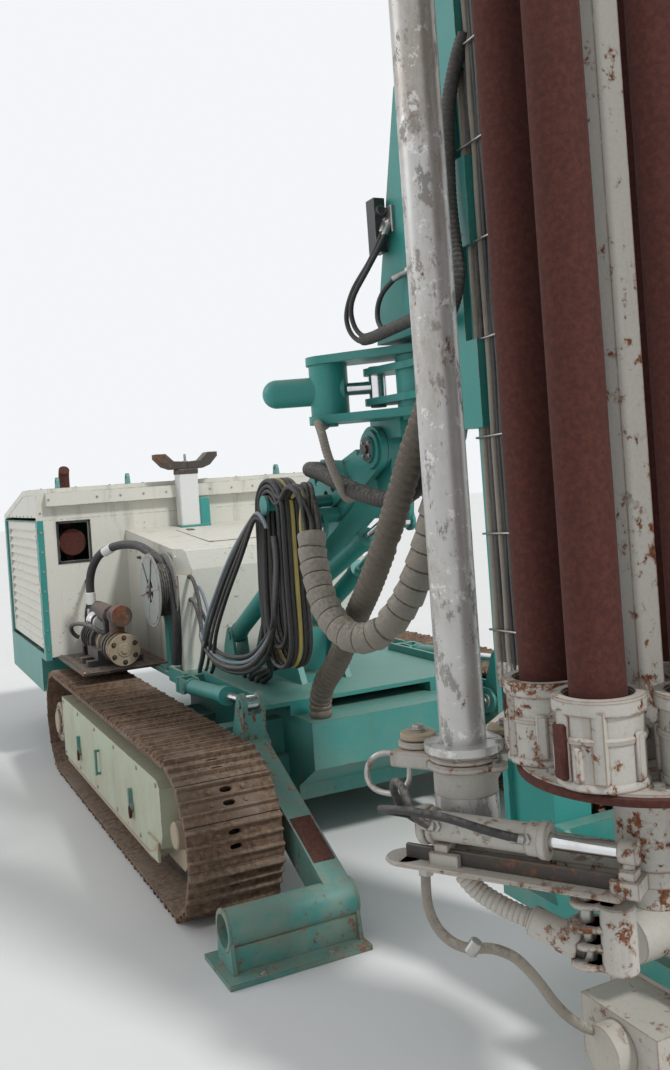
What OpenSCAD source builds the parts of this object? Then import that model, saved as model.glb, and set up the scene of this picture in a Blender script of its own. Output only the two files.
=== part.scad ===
// Crawler drilling rig with a mast and a drill pipe magazine.
// X points forward to the mast, Y to the machine's left, Z up from the ground.

/* [Tracks] */
// Distance between the two track centre lines
track_gauge = 2000; // [1900:10:2100]
// Width of one track shoe
shoe_w = 400; // [350:10:440]
// Height of the whole track
track_h = 660; // [620:10:680]
// Place of the rear sprocket's centre along X
sprocket_x = -1590; // [-1650:10:-1500]
// Place of the front idler's centre along X
idler_x = 945; // [850:5:1000]
// Number of shoes in one track
shoe_count = 41; // [38:1:44]
// Height of the bars on a shoe
grouser_h = 24; // [12:1:30]
// Thickness of a shoe plate
shoe_t = 28; // [20:1:34]
// Height of the chain links inside the shoes
link_h = 55; // [45:1:65]
// Width of the chain links
link_w = 130; // [100:5:150]
// Teeth on a sprocket
sprocket_teeth = 17; // [13:1:21]
// Radius of a bottom roller
roller_r = 75; // [60:1:85]
// Bottom rollers in one track
roller_count = 7; // [5:1:8]
// Width of a track frame over its two plates
track_frame_w = 220; // [190:5:240]
// Thickness of a track frame plate
track_plate_t = 20; // [12:1:30]

/* [Deck and housing] */
// Height of the deck frame's underside
deck_z = 640; // [620:5:680]
// Depth of the deck's frame rails
deck_h = 50; // [40:5:80]
// Rear face of the engine housing
housing_rear_x = -3419; // [-3500:1:-3300]
// Front face of the engine housing
housing_front_x = -1815; // [-1900:5:-1750]
// Width of the engine housing over its doors
housing_w = 2390; // [2200:10:2400]
// Top of the engine housing at its front
housing_top_z = 1830; // [1750:10:1900]
// Drop of the roof at the rear
roof_drop = 170; // [100:10:220]
// Thickness of the housing's walls and doors
wall_t = 40; // [30:1:50]
// Bottom of the skirt behind the tracks
skirt_z = 460; // [440:10:560]
// Width of a corner post
post_w = 75; // [60:5:100]
// Radius of a door's hinge pin
hinge_pin_r = 7; // [5:0.5:9]
// Slats in a side door
slat_count = 12; // [8:1:14]
// Front end of the low hood
hood_front_x = -630; // [-700:5:-600]
// Width of the low hood
hood_w = 1220; // [1100:10:1280]
// Top of the low hood at its rear
hood_rear_z = 1514; // [1480:2:1540]
// Top of the low hood at its front
hood_front_z = 1412; // [1380:2:1440]

/* [Boom and swivel] */
// Offset of the mast's centre plane along Y
mast_y = -100; // [-120:5:-60]
// Place of the boom's foot pin along X
boom_foot_x = -100; // [-140:5:-60]
// Height of the boom's foot pin
boom_foot_z = 1300; // [1270:5:1330]
// Length of the boom between its pins
boom_len = 1350; // [1300:5:1400]
// Rise of the boom above the horizontal
boom_deg = 25.4; // [22:0.2:28]
// Width of the boom's box
boom_w = 180; // [160:5:200]
// Radius of the boom's two main pins
boom_pin_r = 45; // [35:1:50]
// Running clearance round a pin
pin_gap = 0.05; // [0.02:0.01:0.09]
// Side clearance between faces that turn past each other
side_gap = 0.5; // [0.3:0.1:0.8]
// Barrel radius of a lift cylinder
lift_barrel_r = 48; // [42:1:55]
// Rod radius of a lift cylinder
lift_rod_r = 28; // [20:1:32]
// Distance of a lift cylinder from the boom's centre plane
lift_y = 235; // [225:5:260]
// Distance of the swivel's upright pin in front of the tilt pin
swivel_ahead = 280; // [260:5:300]
// Height of the lower swivel plate above the tilt pin
swivel_up = 120; // [115:1:130]
// Height of the swivel stack
swivel_h = 290; // [280:5:310]
// Thickness of the two outer swivel plates
swivel_plate_t = 35; // [30:1:40]
// Radius of the swivel's upright pin
swivel_pin_r = 50; // [40:1:60]
// Radius of the slew cylinder's barrel
slew_barrel_r = 62; // [55:1:68]

/* [Mast] */
// Rear face of the mast beam
mast_x = 2120; // [2100:5:2140]
// Depth of the mast beam
mast_d = 280; // [260:5:290]
// Width of the mast beam
mast_w = 380; // [340:5:400]
// Bottom of the mast beam
mast_bottom_z = 350; // [330:5:380]
// Length of the mast beam
mast_len = 5900; // [5700:50:6000]
// Thickness of the mast's side plates
mast_plate_t = 16; // [10:1:20]
// Thickness of the rails that the head runs on
rail_t = 24; // [18:1:30]
// Sliding clearance of the guides
slide_gap = 0.5; // [0.3:0.1:0.8]
// Height of the mast holder's top
holder_top_z = 3420; // [3300:10:3600]
// Distance of the drill axis in front of the mast's rear face
drill_ahead = 740; // [730:5:760]
// Height of the rotary head's underside at rest
head_z = 4330; // [4300:10:4500]
// Outer radius of the clamp's casing opening
clamp_bore_r = 110; // [100:5:120]

/* [Magazine] */
// Place of the swing tube in front of the drill axis
tube_behind = 200; // [190:5:210]
// Distance of the swing tube to the right of the drill axis
tube_aside = 700; // [690:5:710]
// Outer radius of the swing tube
tube_r = 63.5; // [60:0.5:66]
// How far the swing tube stands above the upper arm
tube_over = 55; // [45:5:80]
// Angle of the magazine arm from forward at rest
arm_deg = 32; // [28:1:34]
// Number of casings in the magazine
casing_count = 6; // [4:1:6]
// Outer radius of a casing
casing_r = 66.5; // [60:0.5:70]
// Length of a casing
casing_len = 3000; // [2900:10:3050]
// Radius of the circle that the casings stand on
casing_circle_r = 230; // [225:1:240]
// Height of the casings' lower ends
casing_z = 1050; // [1045:1:1060]
// Wall of a casing
casing_wall = 9; // [7:0.5:12]

/* [Supports] */
// Place of an outrigger's pivot along X
rigger_x = 640; // [620:5:660]
// Height of an outrigger's pivot
rigger_z = 560; // [550:5:570]
// Clearance between an outrigger's lever and the track
rigger_clear = 45; // [35:5:60]
// Width of an outrigger's lever
rigger_w = 110; // [90:5:120]
// Radius of an outrigger's foot tube
foot_r = 74; // [65:1:80]
// Length of an outrigger's foot tube
foot_len = 520; // [480:10:540]
// Radius of the hose reel
reel_r = 220; // [200:5:240]

/* [Hidden] */
$fn = 48;
flank_inset = 0.1;

// Track loop
track_z = track_h / 2;
loop_r = track_z - grouser_h;
link_top_r = loop_r - shoe_t;
chain_in_r = link_top_r - link_h;
track_run = idler_x - sprocket_x;
loop_len = 2 * track_run + 2 * PI * loop_r;
shoe_pitch = loop_len / shoe_count;
wheel_r = chain_in_r - 0.3;
// Columns: place along one shoe from 0 to 1, height as a share of a bar
SHOE_PROFILE = [
    [0.02, 0], [0.05, 1], [0.12, 1], [0.17, 0], [0.37, 0], [0.41, 0.8],
    [0.48, 0.8], [0.52, 0], [0.72, 0], [0.76, 0.8], [0.83, 0.8], [0.87, 0]
];
frame_in = track_frame_w / 2 - track_plate_t;
frame_out = track_frame_w / 2;
frame_low_z = 150;
frame_high_z = 510;
cover_t = 75;
cover_out = frame_out + cover_t;

// Deck and housing
deck_top_z = deck_z + deck_h;
floor_t = 20;
housing_mid_y = housing_w / 2;
roof_front_x = -2350;
skirt_front_x = -2010;
door_gap = 4;
door_rear_x = housing_rear_x + post_w + door_gap;
door_front_x = housing_front_x - post_w - door_gap;
door_low_z = deck_top_z + floor_t + 40;
door_high_z = 1610;
hinge_x = door_front_x - 10;
hinge_y = housing_mid_y - 12;
hinge_r = 12;
eye_x = housing_front_x - 90;
exhaust_at = [-2030, 235 - housing_mid_y];
exhaust_r = 36;
silencer_r = 88;
silencer_z = 1460;
skid_z = deck_top_z + floor_t;
skid_x = [-1760, -930];
pump_z = 840;
pump_y = -890;
pump_flange_r = 97;
reel_at = [-800, 1180];
reel_y = -hood_w / 2 - 70;
reel_pin_r = 25;

// Boom and swivel
boom_tip_x = boom_foot_x + boom_len * cos(boom_deg);
boom_tip_z = boom_foot_z + boom_len * sin(boom_deg);
cheek_t = 30;
cheek_out = boom_w / 2 + 20;
cheek_in = cheek_out - cheek_t;
swivel_x = boom_tip_x + swivel_ahead;
swivel_low_z = boom_tip_z + swivel_up;
swivel_top_z = swivel_low_z + swivel_h;
lift_base = [-460, 905];
lift_eye_along = 860;
lift_eye_below = 150;
lift_eye = [
    boom_foot_x + lift_eye_along * cos(boom_deg) + lift_eye_below * sin(boom_deg),
    boom_foot_z + lift_eye_along * sin(boom_deg) - lift_eye_below * cos(boom_deg)
];
tilt_rod_r = 24;
tilt_base_along = 250;
tilt_base_below = 200;
tilt_base = [
    boom_foot_x + tilt_base_along * cos(boom_deg) + tilt_base_below * sin(boom_deg),
    boom_foot_z + tilt_base_along * sin(boom_deg) - tilt_base_below * cos(boom_deg)
];
tilt_eye = [boom_tip_x, boom_tip_z - 280];
slew_eye = [swivel_x - 210, mast_y - 95];
slew_trunnion = [swivel_x - 310, mast_y - 280];
slew_z = swivel_low_z + swivel_h / 2;
slew_rod_r = 28;
// Heights of the holder's two plates above the lower swivel plate
SWIVEL_IN = [[65, 95], [195, 225]];
trunnion_r = 30;
eye_half_w = 29.6;
lug_t = 16;
cylinder_pin_r = 24;

// Faces that the hose bundles start from
touch_gap = 0.3;
boom_side_y = mast_y - cheek_out - touch_gap;
hanger_side_y = mast_y - cheek_out - 20 - touch_gap;
guide_back_x = mast_x - slide_gap - 60 - touch_gap;

// Mast and magazine
mast_front_x = mast_x + mast_d;
rail_x = mast_front_x + rail_t;
mast_top_z = mast_bottom_z + mast_len;
drill_x = mast_x + drill_ahead;
foot_plate_t = 60;
clamp_low_z = 60;
tube_x = drill_x - tube_behind;
tube_y = mast_y - tube_aside;
arm_len = norm([tube_behind, tube_aside]) - casing_circle_r;
carousel_x = tube_x + arm_len * cos(arm_deg);
carousel_y = tube_y + arm_len * sin(arm_deg);
cup_r = 100;
disc_r = 310;
disc_top_z = casing_z - 30;
casing_phase = -66.5;
casing_top_z = casing_z + casing_len;
tube_low_z = 700;
ARM_LOW = [tube_low_z + 20, tube_low_z + 60];
ARM_HIGH = [casing_top_z + 60, casing_top_z + 95];
tube_top_z = ARM_HIGH[1] + tube_over;
BRACKET_LOW = [900, 950];
BRACKET_HIGH = [ARM_HIGH[0] - 230, ARM_HIGH[0] - 185];
index_y = -132;

// Outriggers
rigger_y = track_gauge / 2 - shoe_w / 2 - rigger_clear - rigger_w / 2;
deck_out = rigger_y - 100;
foot_ahead = 870;
foot_z = 150;
rigger_base = [-230, 700];
rigger_top = [rigger_x + 60, rigger_z + 210];
rigger_pin_r = 32;

// Hose hank over its bar
hank_bar = [700, 1660];
hank_bar_r = 28;
hank_hole_r = 75;
hank_top = hank_bar - [0, hank_hole_r - hank_bar_r - touch_gap];

module box(x, y, z) {
    translate([x[0], y[0], z[0]]) cube([x[1] - x[0], y[1] - y[0], z[1] - z[0]]);
}

module ycyl(at, y, r) {
    translate([at[0], y[1], at[1]]) rotate([90, 0, 0]) cylinder(r = r, h = y[1] - y[0]);
}

module zcyl(at, z, r) {
    translate([at[0], at[1], z[0]]) cylinder(r = r, h = z[1] - z[0]);
}

module xcyl(at, x, r) {
    translate([x[0], at[0], at[1]]) rotate([0, 90, 0]) cylinder(r = r, h = x[1] - x[0]);
}

// Plate standing in the X-Z plane, from y[0] to y[1]
module side_plate(y) {
    translate([0, y[1], 0]) rotate([90, 0, 0]) linear_extrude(y[1] - y[0]) children();
}

// Flat plate from z[0] to z[1]
module flat_plate(z) {
    translate([0, 0, z[0]]) linear_extrude(z[1] - z[0]) children();
}

module both_sides() {
    for (side = [0, 1]) mirror([0, side, 0]) children();
}

// Outline of a link with round ends and straight flanks, which start just inside the rounds
module link2d(a, ra, b, rb) {
    d = norm(b - a);
    base = atan2(b[1] - a[1], b[0] - a[0]);
    lean = acos((ra - rb) / d);
    from = ra - flank_inset;
    to = rb - flank_inset;
    translate(a) circle(r = ra);
    translate(b) circle(r = rb);
    polygon([
        a + from * [cos(base + lean), sin(base + lean)],
        a + from * [cos(base - lean), sin(base - lean)],
        b + to * [cos(base - lean), sin(base - lean)],
        b + to * [cos(base + lean), sin(base + lean)]
    ]);
}

// Places its children with +X along the line from a to b in the X-Z plane
module along(a, b) {
    translate([a[0], 0, a[1]]) rotate([0, -atan2(b[1] - a[1], b[0] - a[0]), 0]) children();
}

// Places its children in the boom's frame: +X to the tip pin, +Z square to it
module on_boom() {
    translate([boom_foot_x, mast_y, boom_foot_z]) rotate([0, -boom_deg, 0]) children();
}

function loop_point(s, h) =
    let (turn = PI * loop_r)
    s < track_run ? [sprocket_x + s, track_z + loop_r + h]
    : s < track_run + turn ?
        let (a = (s - track_run) / turn * 180)
        [idler_x + (loop_r + h) * sin(a), track_z + (loop_r + h) * cos(a)]
    : s < 2 * track_run + turn ? [idler_x - (s - track_run - turn), track_z - loop_r - h]
    : let (a = (s - 2 * track_run - turn) / turn * 180)
        [sprocket_x - (loop_r + h) * sin(a), track_z - (loop_r + h) * cos(a)];

module loop2d(r) {
    translate([sprocket_x, track_z]) circle(r = r, $fn = 64);
    translate([idler_x, track_z]) circle(r = r, $fn = 64);
    translate([sprocket_x, track_z - r]) square([track_run, 2 * r]);
}

module track() {
    side_plate([-shoe_w / 2, shoe_w / 2]) difference() {
        polygon([
            for (shoe = [0:shoe_count - 1]) for (p = SHOE_PROFILE)
                loop_point((shoe + p[0]) * shoe_pitch, p[1] * grouser_h)
        ]);
        loop2d(link_top_r);
    }
    side_plate([-link_w / 2, link_w / 2]) difference() {
        loop2d(link_top_r + 5);
        loop2d(chain_in_r);
    }
}

module track_right() {
    color("saddlebrown") translate([0, -track_gauge / 2, 0]) track();
}

module track_left() {
    color("saddlebrown") translate([0, track_gauge / 2, 0]) track();
}

// Places its children at the left track, with +Y outwards, and mirrors them to the right
module at_tracks() {
    both_sides() translate([0, track_gauge / 2, 0]) children();
}

module track_frames() {
    color("olivedrab") at_tracks() {
        for (y = [-frame_out, frame_in]) side_plate([y, y + track_plate_t]) polygon([
            [sprocket_x - 130, track_z - 90], [sprocket_x + 60, frame_low_z],
            [idler_x - 60, frame_low_z], [idler_x + 90, track_z - 60],
            [idler_x + 90, track_z + 60], [idler_x - 160, frame_high_z],
            [sprocket_x + 260, frame_high_z], [sprocket_x - 130, track_z + 90]
        ]);
        box([sprocket_x + 290, idler_x - 290], [-frame_in, frame_in], [300, 400]);
    }
}

module sprockets() {
    color("dimgray") at_tracks() {
        side_plate([-28, 28]) translate([sprocket_x, track_z]) polygon([
            for (tooth = [0:sprocket_teeth - 1]) for (p = [[0, -34], [0.24, 0], [0.5, 0], [0.74, -34]])
                (wheel_r + p[1]) * [
                    cos((tooth + p[0]) * 360 / sprocket_teeth),
                    sin((tooth + p[0]) * 360 / sprocket_teeth)
                ]
        ]);
        ycyl([sprocket_x, track_z], [-frame_in, frame_in], 110);
        ycyl([sprocket_x, track_z], [frame_out, frame_out + 50], 118);
        ycyl([sprocket_x, track_z], [frame_out + 50, frame_out + 68], 80);
    }
}

module idlers() {
    color("dimgray") at_tracks() {
        ycyl([idler_x, track_z], [-48, 48], wheel_r);
        ycyl([idler_x, track_z], [-frame_in, frame_in], 70);
        ycyl([idler_x, track_z], [frame_out, frame_out + 22], 60);
    }
}

module rollers() {
    low_z = track_z - chain_in_r + 0.3 + roller_r;
    high_z = track_z + chain_in_r - 0.3 - 55;
    span = (track_run - 520) / (roller_count - 1);
    color("dimgray") at_tracks() {
        for (i = [0:roller_count - 1])
            ycyl([sprocket_x + 260 + i * span, low_z], [-frame_in, frame_in], roller_r);
        for (x = [sprocket_x + 850, idler_x - 850]) ycyl([x, high_z], [-frame_in, frame_in], 55);
    }
}

module track_covers() {
    color("beige") at_tracks() {
        side_plate([frame_out, cover_out]) polygon([
            [sprocket_x + 205, 170], [idler_x - 260, 170], [idler_x - 150, 235],
            [idler_x - 110, 300], [idler_x - 110, 500], [idler_x - 150, 530],
            [sprocket_x + 205, 530]
        ]);
        box([idler_x - 330, idler_x - 160], [cover_out, cover_out + 12], [175, 260]);
    }
}

module cover_fittings() {
    color("darkcyan") at_tracks() {
        for (x = [sprocket_x + 700, idler_x - 620]) {
            box([x - 12, x + 12], [cover_out, cover_out + 18], [300, 380]);
            ycyl([x, 300], [cover_out, cover_out + 14], 30);
        }
        for (z = [290, 410]) ycyl([sprocket_x + 1230, z], [cover_out, cover_out + 26], 7);
        zcyl([sprocket_x + 1230, cover_out + 20], [283, 417], 7);
    }
}

module carbody() {
    inner = track_gauge / 2 - frame_out;
    color("darkcyan") {
        box([-1150, 560], [-430, 430], [230, deck_z]);
        for (x = [-1000, 120]) box([x, x + 330], [-inner, inner], [240, 430]);
        side_plate([-430, 430]) polygon([[559, 300], [760, 420], [760, deck_z], [559, deck_z]]);
        both_sides() {
            for (y = [rigger_y - rigger_w / 2 - 26, rigger_y + rigger_w / 2 + 6])
                side_plate([y, y + 20]) {
                    link2d([rigger_x, rigger_z], 62, [380, 520], 90);
                    translate([330, 430]) square([120, 180]);
                }
            box([300, 400], [425, rigger_y + rigger_w / 2 + 26], [432, 600]);
            ycyl(
                [rigger_x, rigger_z], [rigger_y - rigger_w / 2 - 30, rigger_y + rigger_w / 2 + 30],
                rigger_pin_r
            );
        }
    }
}

module deck() {
    color("darkcyan") {
        for (y = [-450, 330]) box([housing_rear_x + 40, 560], [y, y + 120], [deck_z, deck_top_z]);
        for (x = [housing_rear_x + 40, -2400, -1400]) box([x, x + 110], [-450, 450], [deck_z, deck_top_z]);
        box([housing_front_x, -330], [-700, 700], [deck_top_z, deck_top_z + floor_t]);
        box([-331, 560], [-deck_out, deck_out], [deck_top_z, deck_top_z + floor_t]);
        both_sides() {
            box([-640, -330], [680, 700], [deck_top_z - 20, deck_top_z + 60]);
            box([-331, 560], [deck_out - 20, deck_out], [deck_top_z - 20, deck_top_z + 60]);
            box([-340, -300], [deck_out - 20, deck_out + 150], [rigger_base[1] - 40, rigger_base[1] + 40]);
            for (y = [rigger_y - 46, rigger_y + 30]) side_plate([y, y + lug_t]) {
                link2d(rigger_base, 40, [-300, rigger_base[1]], 40);
            }
            ycyl(rigger_base, [rigger_y - 50, rigger_y + 50], 20);
        }
    }
}

// Side outline of the housing's roof line, from z up
module housing_side2d(low_z, inset) {
    polygon([
        [housing_rear_x + inset, low_z], [housing_front_x - inset, low_z],
        [housing_front_x - inset, housing_top_z - inset], [roof_front_x, housing_top_z - inset],
        [housing_rear_x + inset, housing_top_z - roof_drop - inset]
    ]);
}

module engine_housing() {
    roof_low = housing_top_z - roof_drop - wall_t;
    color("darkcyan") {
        box(
            [housing_rear_x, housing_front_x - wall_t], [-housing_mid_y, housing_mid_y],
            [deck_top_z, deck_top_z + floor_t]
        );
        box([housing_rear_x, housing_rear_x + wall_t], [-housing_mid_y, housing_mid_y], [skirt_z, roof_low]);
        both_sides() {
            for (x = [housing_rear_x, housing_front_x - post_w])
                box([x, x + post_w], [housing_mid_y - wall_t, housing_mid_y], [deck_top_z, roof_low]);
            box(
                [housing_rear_x, skirt_front_x], [housing_mid_y - 8, housing_mid_y],
                [skirt_z, door_low_z - 20]
            );
            box([skirt_front_x - 8, skirt_front_x], [700, housing_mid_y], [skirt_z, deck_top_z]);
            side_plate([housing_mid_y - 8, housing_mid_y])
                translate([skirt_front_x, deck_top_z])
                    square([housing_front_x - skirt_front_x, door_low_z - 20 - deck_top_z]);
            side_plate([housing_mid_y - wall_t, housing_mid_y]) difference() {
                housing_side2d(door_high_z + door_gap, 0);
                translate([housing_rear_x - 1, roof_low]) square([3000, 1000]);
            }
            for (z = [door_low_z + 60, door_high_z - 120]) {
                zcyl([hinge_x, hinge_y], [z - 1, z + 60], hinge_pin_r);
                zcyl([hinge_x, hinge_y], [z - 22, z - side_gap], hinge_r);
                box(
                    [hinge_x, door_front_x + 20], [hinge_y - hinge_r, hinge_y + hinge_r - 4],
                    [z - 22, z - side_gap]
                );
            }
        }
    }
}

module housing_front() {
    color("ivory") difference() {
        box(
            [housing_front_x - wall_t, housing_front_x],
            [-housing_mid_y + wall_t, housing_mid_y - wall_t], [deck_top_z + floor_t, 1620]
        );
        box(
            [housing_front_x - wall_t - 1, housing_front_x + 1],
            [exhaust_at[1] - 100, exhaust_at[1] + 100], [1330, 1600]
        );
    }
}

module housing_roof() {
    roof_low = housing_top_z - roof_drop - wall_t;
    color("ivory") {
        difference() {
            side_plate([-housing_mid_y, housing_mid_y]) difference() {
                housing_side2d(roof_low, 0);
                housing_side2d(roof_low - 100, wall_t);
            }
            zcyl(exhaust_at, [1500, 2000], exhaust_r + touch_gap);
        }
        box([housing_front_x, housing_front_x + 55], [-housing_mid_y + 60, housing_mid_y - 60], [1712, 1800]);
    }
}

module lifting_eyes() {
    color("darkcyan") for (y = [-1040, -560, 560, 1040]) side_plate([y, y + 20]) difference() {
        link2d([eye_x, housing_top_z + 42], 32, [eye_x, housing_top_z - 20], 48);
        translate([eye_x, housing_top_z + 44]) circle(r = 15);
        translate([eye_x - 100, housing_top_z - 100]) square([200, 100]);
    }
}

module engine_block() {
    color("dimgray") {
        box([-3050, -2150], [-420, 500], [deck_top_z + floor_t, 1480]);
        box([-2900, -2300], [-250, 300], [1479, 1580]);
    }
}

module exhaust() {
    color("sienna") {
        xcyl([exhaust_at[1], silencer_z], [exhaust_at[0] - 165, exhaust_at[0] + 165], silencer_r);
        zcyl(exhaust_at + [30, 0], [deck_top_z + floor_t, silencer_z - 20], 24);
        zcyl(exhaust_at, [silencer_z + 60, 1900], exhaust_r);
        translate([exhaust_at[0] + 70, exhaust_at[1], 1900]) rotate([90, 0, 180]) rotate_extrude(angle = 50)
            translate([70, 0]) circle(r = exhaust_r);
    }
}

// Door at the left side, hinged at its front edge
module side_door() {
    inner = housing_mid_y - wall_t;
    frame_w = 60;
    slat_pitch = (door_high_z - door_low_z - 2 * frame_w) / slat_count;
    color("ivory") {
        difference() {
            box([door_rear_x, hinge_x - hinge_r - 2], [inner, hinge_y - 4], [door_low_z, door_high_z]);
            box(
                [door_rear_x + frame_w, door_front_x - frame_w], [inner - 1, hinge_y],
                [door_low_z + frame_w, door_high_z - frame_w]
            );
        }
        box(
            [door_rear_x + frame_w, door_front_x - frame_w], [inner, inner + 6],
            [door_low_z + frame_w, door_high_z - frame_w]
        );
        for (i = [0:slat_count - 1]) translate([0, 0, door_low_z + frame_w + i * slat_pitch])
            translate([door_rear_x + frame_w, inner + 5, 0]) rotate([90, 0, 90])
                linear_extrude(door_front_x - door_rear_x - 2 * frame_w)
                    polygon([[0, 2], [22, 2], [22, 8], [0, slat_pitch - 14]]);
        for (z = [door_low_z + 60, door_high_z - 120]) difference() {
            union() {
                zcyl([hinge_x, hinge_y], [z, z + 60], hinge_r);
                box([hinge_x - 40, hinge_x], [hinge_y - hinge_r, hinge_y - 2], [z, z + 60]);
            }
            zcyl([hinge_x, hinge_y], [z - 1, z + 61], hinge_pin_r + pin_gap);
        }
    }
}

module side_door_right() {
    mirror([0, 1, 0]) side_door();
}

module side_door_left() {
    side_door();
}

module hood() {
    half = hood_w / 2;
    low_z = deck_top_z + floor_t;
    color("ivory") difference() {
        side_plate([-half, half]) polygon([
            [housing_front_x, low_z], [hood_front_x, low_z], [hood_front_x, hood_front_z - 120],
            [hood_front_x - 24, hood_front_z - 14], [hood_front_x - 40, hood_front_z],
            [housing_front_x, hood_rear_z]
        ]);
        translate([hood_front_x, -half, hood_front_z]) rotate([0, 0, 45])
            cube([120, 120, 300], center = true);
        translate([hood_front_x, half, hood_front_z]) rotate([0, 0, 45])
            cube([120, 120, 300], center = true);
    }
}

module mast_rest() {
    x = housing_front_x + 85;
    color("ivory") box([x - 30, x + 90], [mast_y - 148, mast_y - 12], [hood_rear_z + 4, 1905]);
    color("darkcyan") box([x - 30, x + 60], [mast_y - 11.9, mast_y + 60], [hood_rear_z + 4, 1700]);
    color("black") difference() {
        box([x - 40, x + 70], [mast_y - 300, mast_y + 140], [1905, 2015]);
        box([x - 41, x + 71], [mast_y - 280, mast_y + 120], [1968, 2016]);
        box([x - 41, x + 71], [mast_y - 220, mast_y + 60], [1930, 2016]);
    }
}

module pump_skid() {
    color("dimgray") {
        box(skid_x, [-1130, -hood_w / 2], [skid_z, skid_z + 14]);
        for (x = [-1360, -1190]) box([x, x + 60], [-1060, -720], [skid_z + 13, pump_z - 80]);
    }
}

module mud_pump() {
    axis = [pump_y, pump_z];
    color("dimgray") {
        box([-1415, -1120], [-1000, -780], [pump_z - 80, pump_z - 20]);
        xcyl(axis, [-1420, -1060], 74);
        for (x = [-1400, -1085, -1025]) xcyl(axis, [x, x + 25], pump_flange_r);
        xcyl(axis, [-1061, -1024], 60);
        for (a = [0:60:300]) xcyl(axis + 82 * [cos(a), sin(a)], [-1062, -992], 8);
        xcyl(axis + [0, 180], [-1560, -1150], 58);
        for (x = [-1380, -1230]) box([x, x + 40], [pump_y - 40, pump_y + 40], [pump_z + 50, pump_z + 150]);
    }
    color("silver") {
        translate([-1042, pump_y, pump_z + 40]) cylinder(r = 45, h = 170);
        translate([-1042, pump_y, pump_z + 200]) sphere(r = 50);
        xcyl([pump_y, pump_z + 200], [-1042, -900], 42);
        xcyl([pump_y, pump_z + 200], [-915, -890], 62);
        xcyl(axis + [0, 180], [-1151, -1060], 40);
    }
}

module pump_motor() {
    color("black") {
        xcyl([pump_y, pump_z], [-1735, -1421], 88);
        for (x = [-1680, -1620, -1560, -1500]) xcyl([pump_y, pump_z], [x, x + 20], 96);
        box([-1640, -1520], [pump_y - 50, pump_y + 50], [pump_z + 70, pump_z + 119]);
        for (x = [-1690, -1500]) box([x, x + 50], [pump_y - 90, pump_y + 90], [skid_z + 14, pump_z - 60]);
    }
}

module reel_bracket() {
    color("darkcyan") {
        box(
            [reel_at[0] - 40, reel_at[0] + 40], [reel_y + 30, -hood_w / 2],
            [skid_z + floor_t, reel_at[1] + 60]
        );
        box([reel_at[0] - 60, reel_at[0] + 60], [reel_y - 10, -hood_w / 2], [skid_z, skid_z + floor_t + 1]);
        ycyl(reel_at, [reel_y - 60, reel_y + 31], reel_pin_r);
    }
}

module hose_reel() {
    through = [reel_y - 60, reel_y + 40];
    color("gray") difference() {
        union() {
            for (y = [reel_y - 50, reel_y + 20]) ycyl(reel_at, [y, y + 8], reel_r);
            ycyl(reel_at, [reel_y - 43, reel_y + 21], reel_r * 0.62);
        }
        for (a = [0:60:300]) ycyl(reel_at + reel_r * 0.36 * [cos(a), sin(a)], through, 34);
        for (a = [30:60:330]) ycyl(reel_at + reel_r * 0.82 * [cos(a), sin(a)], through, 22);
        ycyl(reel_at, through, reel_pin_r + pin_gap);
    }
}

module boom_foot() {
    outer = cheek_out + 35;
    color("darkcyan") {
        for (y = [mast_y - outer, mast_y + cheek_out + side_gap])
            side_plate([y, y + 35 - side_gap]) {
                link2d([boom_foot_x, boom_foot_z], 95, [boom_foot_x, 1000], 180);
                polygon([
                    [-480, deck_top_z + floor_t], [240, deck_top_z + floor_t],
                    [50, 1040], [-250, 1040]
                ]);
            }
        box([-420, 200], [mast_y - outer, mast_y + outer], [deck_top_z + floor_t, deck_top_z + floor_t + 30]);
        box([-300, 60], [mast_y - outer, mast_y + outer], [deck_top_z + floor_t, 960]);
        for (side = [-1, 1]) for (y = [-46, 30]) {
            yc = mast_y + side * lift_y;
            side_plate([yc + y, yc + y + lug_t]) {
                link2d(lift_base, 50, [lift_base[0] - 20, 802], 88);
                translate([lift_base[0] - 100, deck_top_z + floor_t]) square([180, 80]);
            }
        }
        ycyl([boom_foot_x, boom_foot_z], [mast_y - outer - 14, mast_y + outer + 14], boom_pin_r);
    }
    color("dimgray") for (side = [-1, 1]) {
        yc = mast_y + side * lift_y;
        ycyl(lift_base, [yc - 52, yc + 52], cylinder_pin_r);
    }
}

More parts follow.
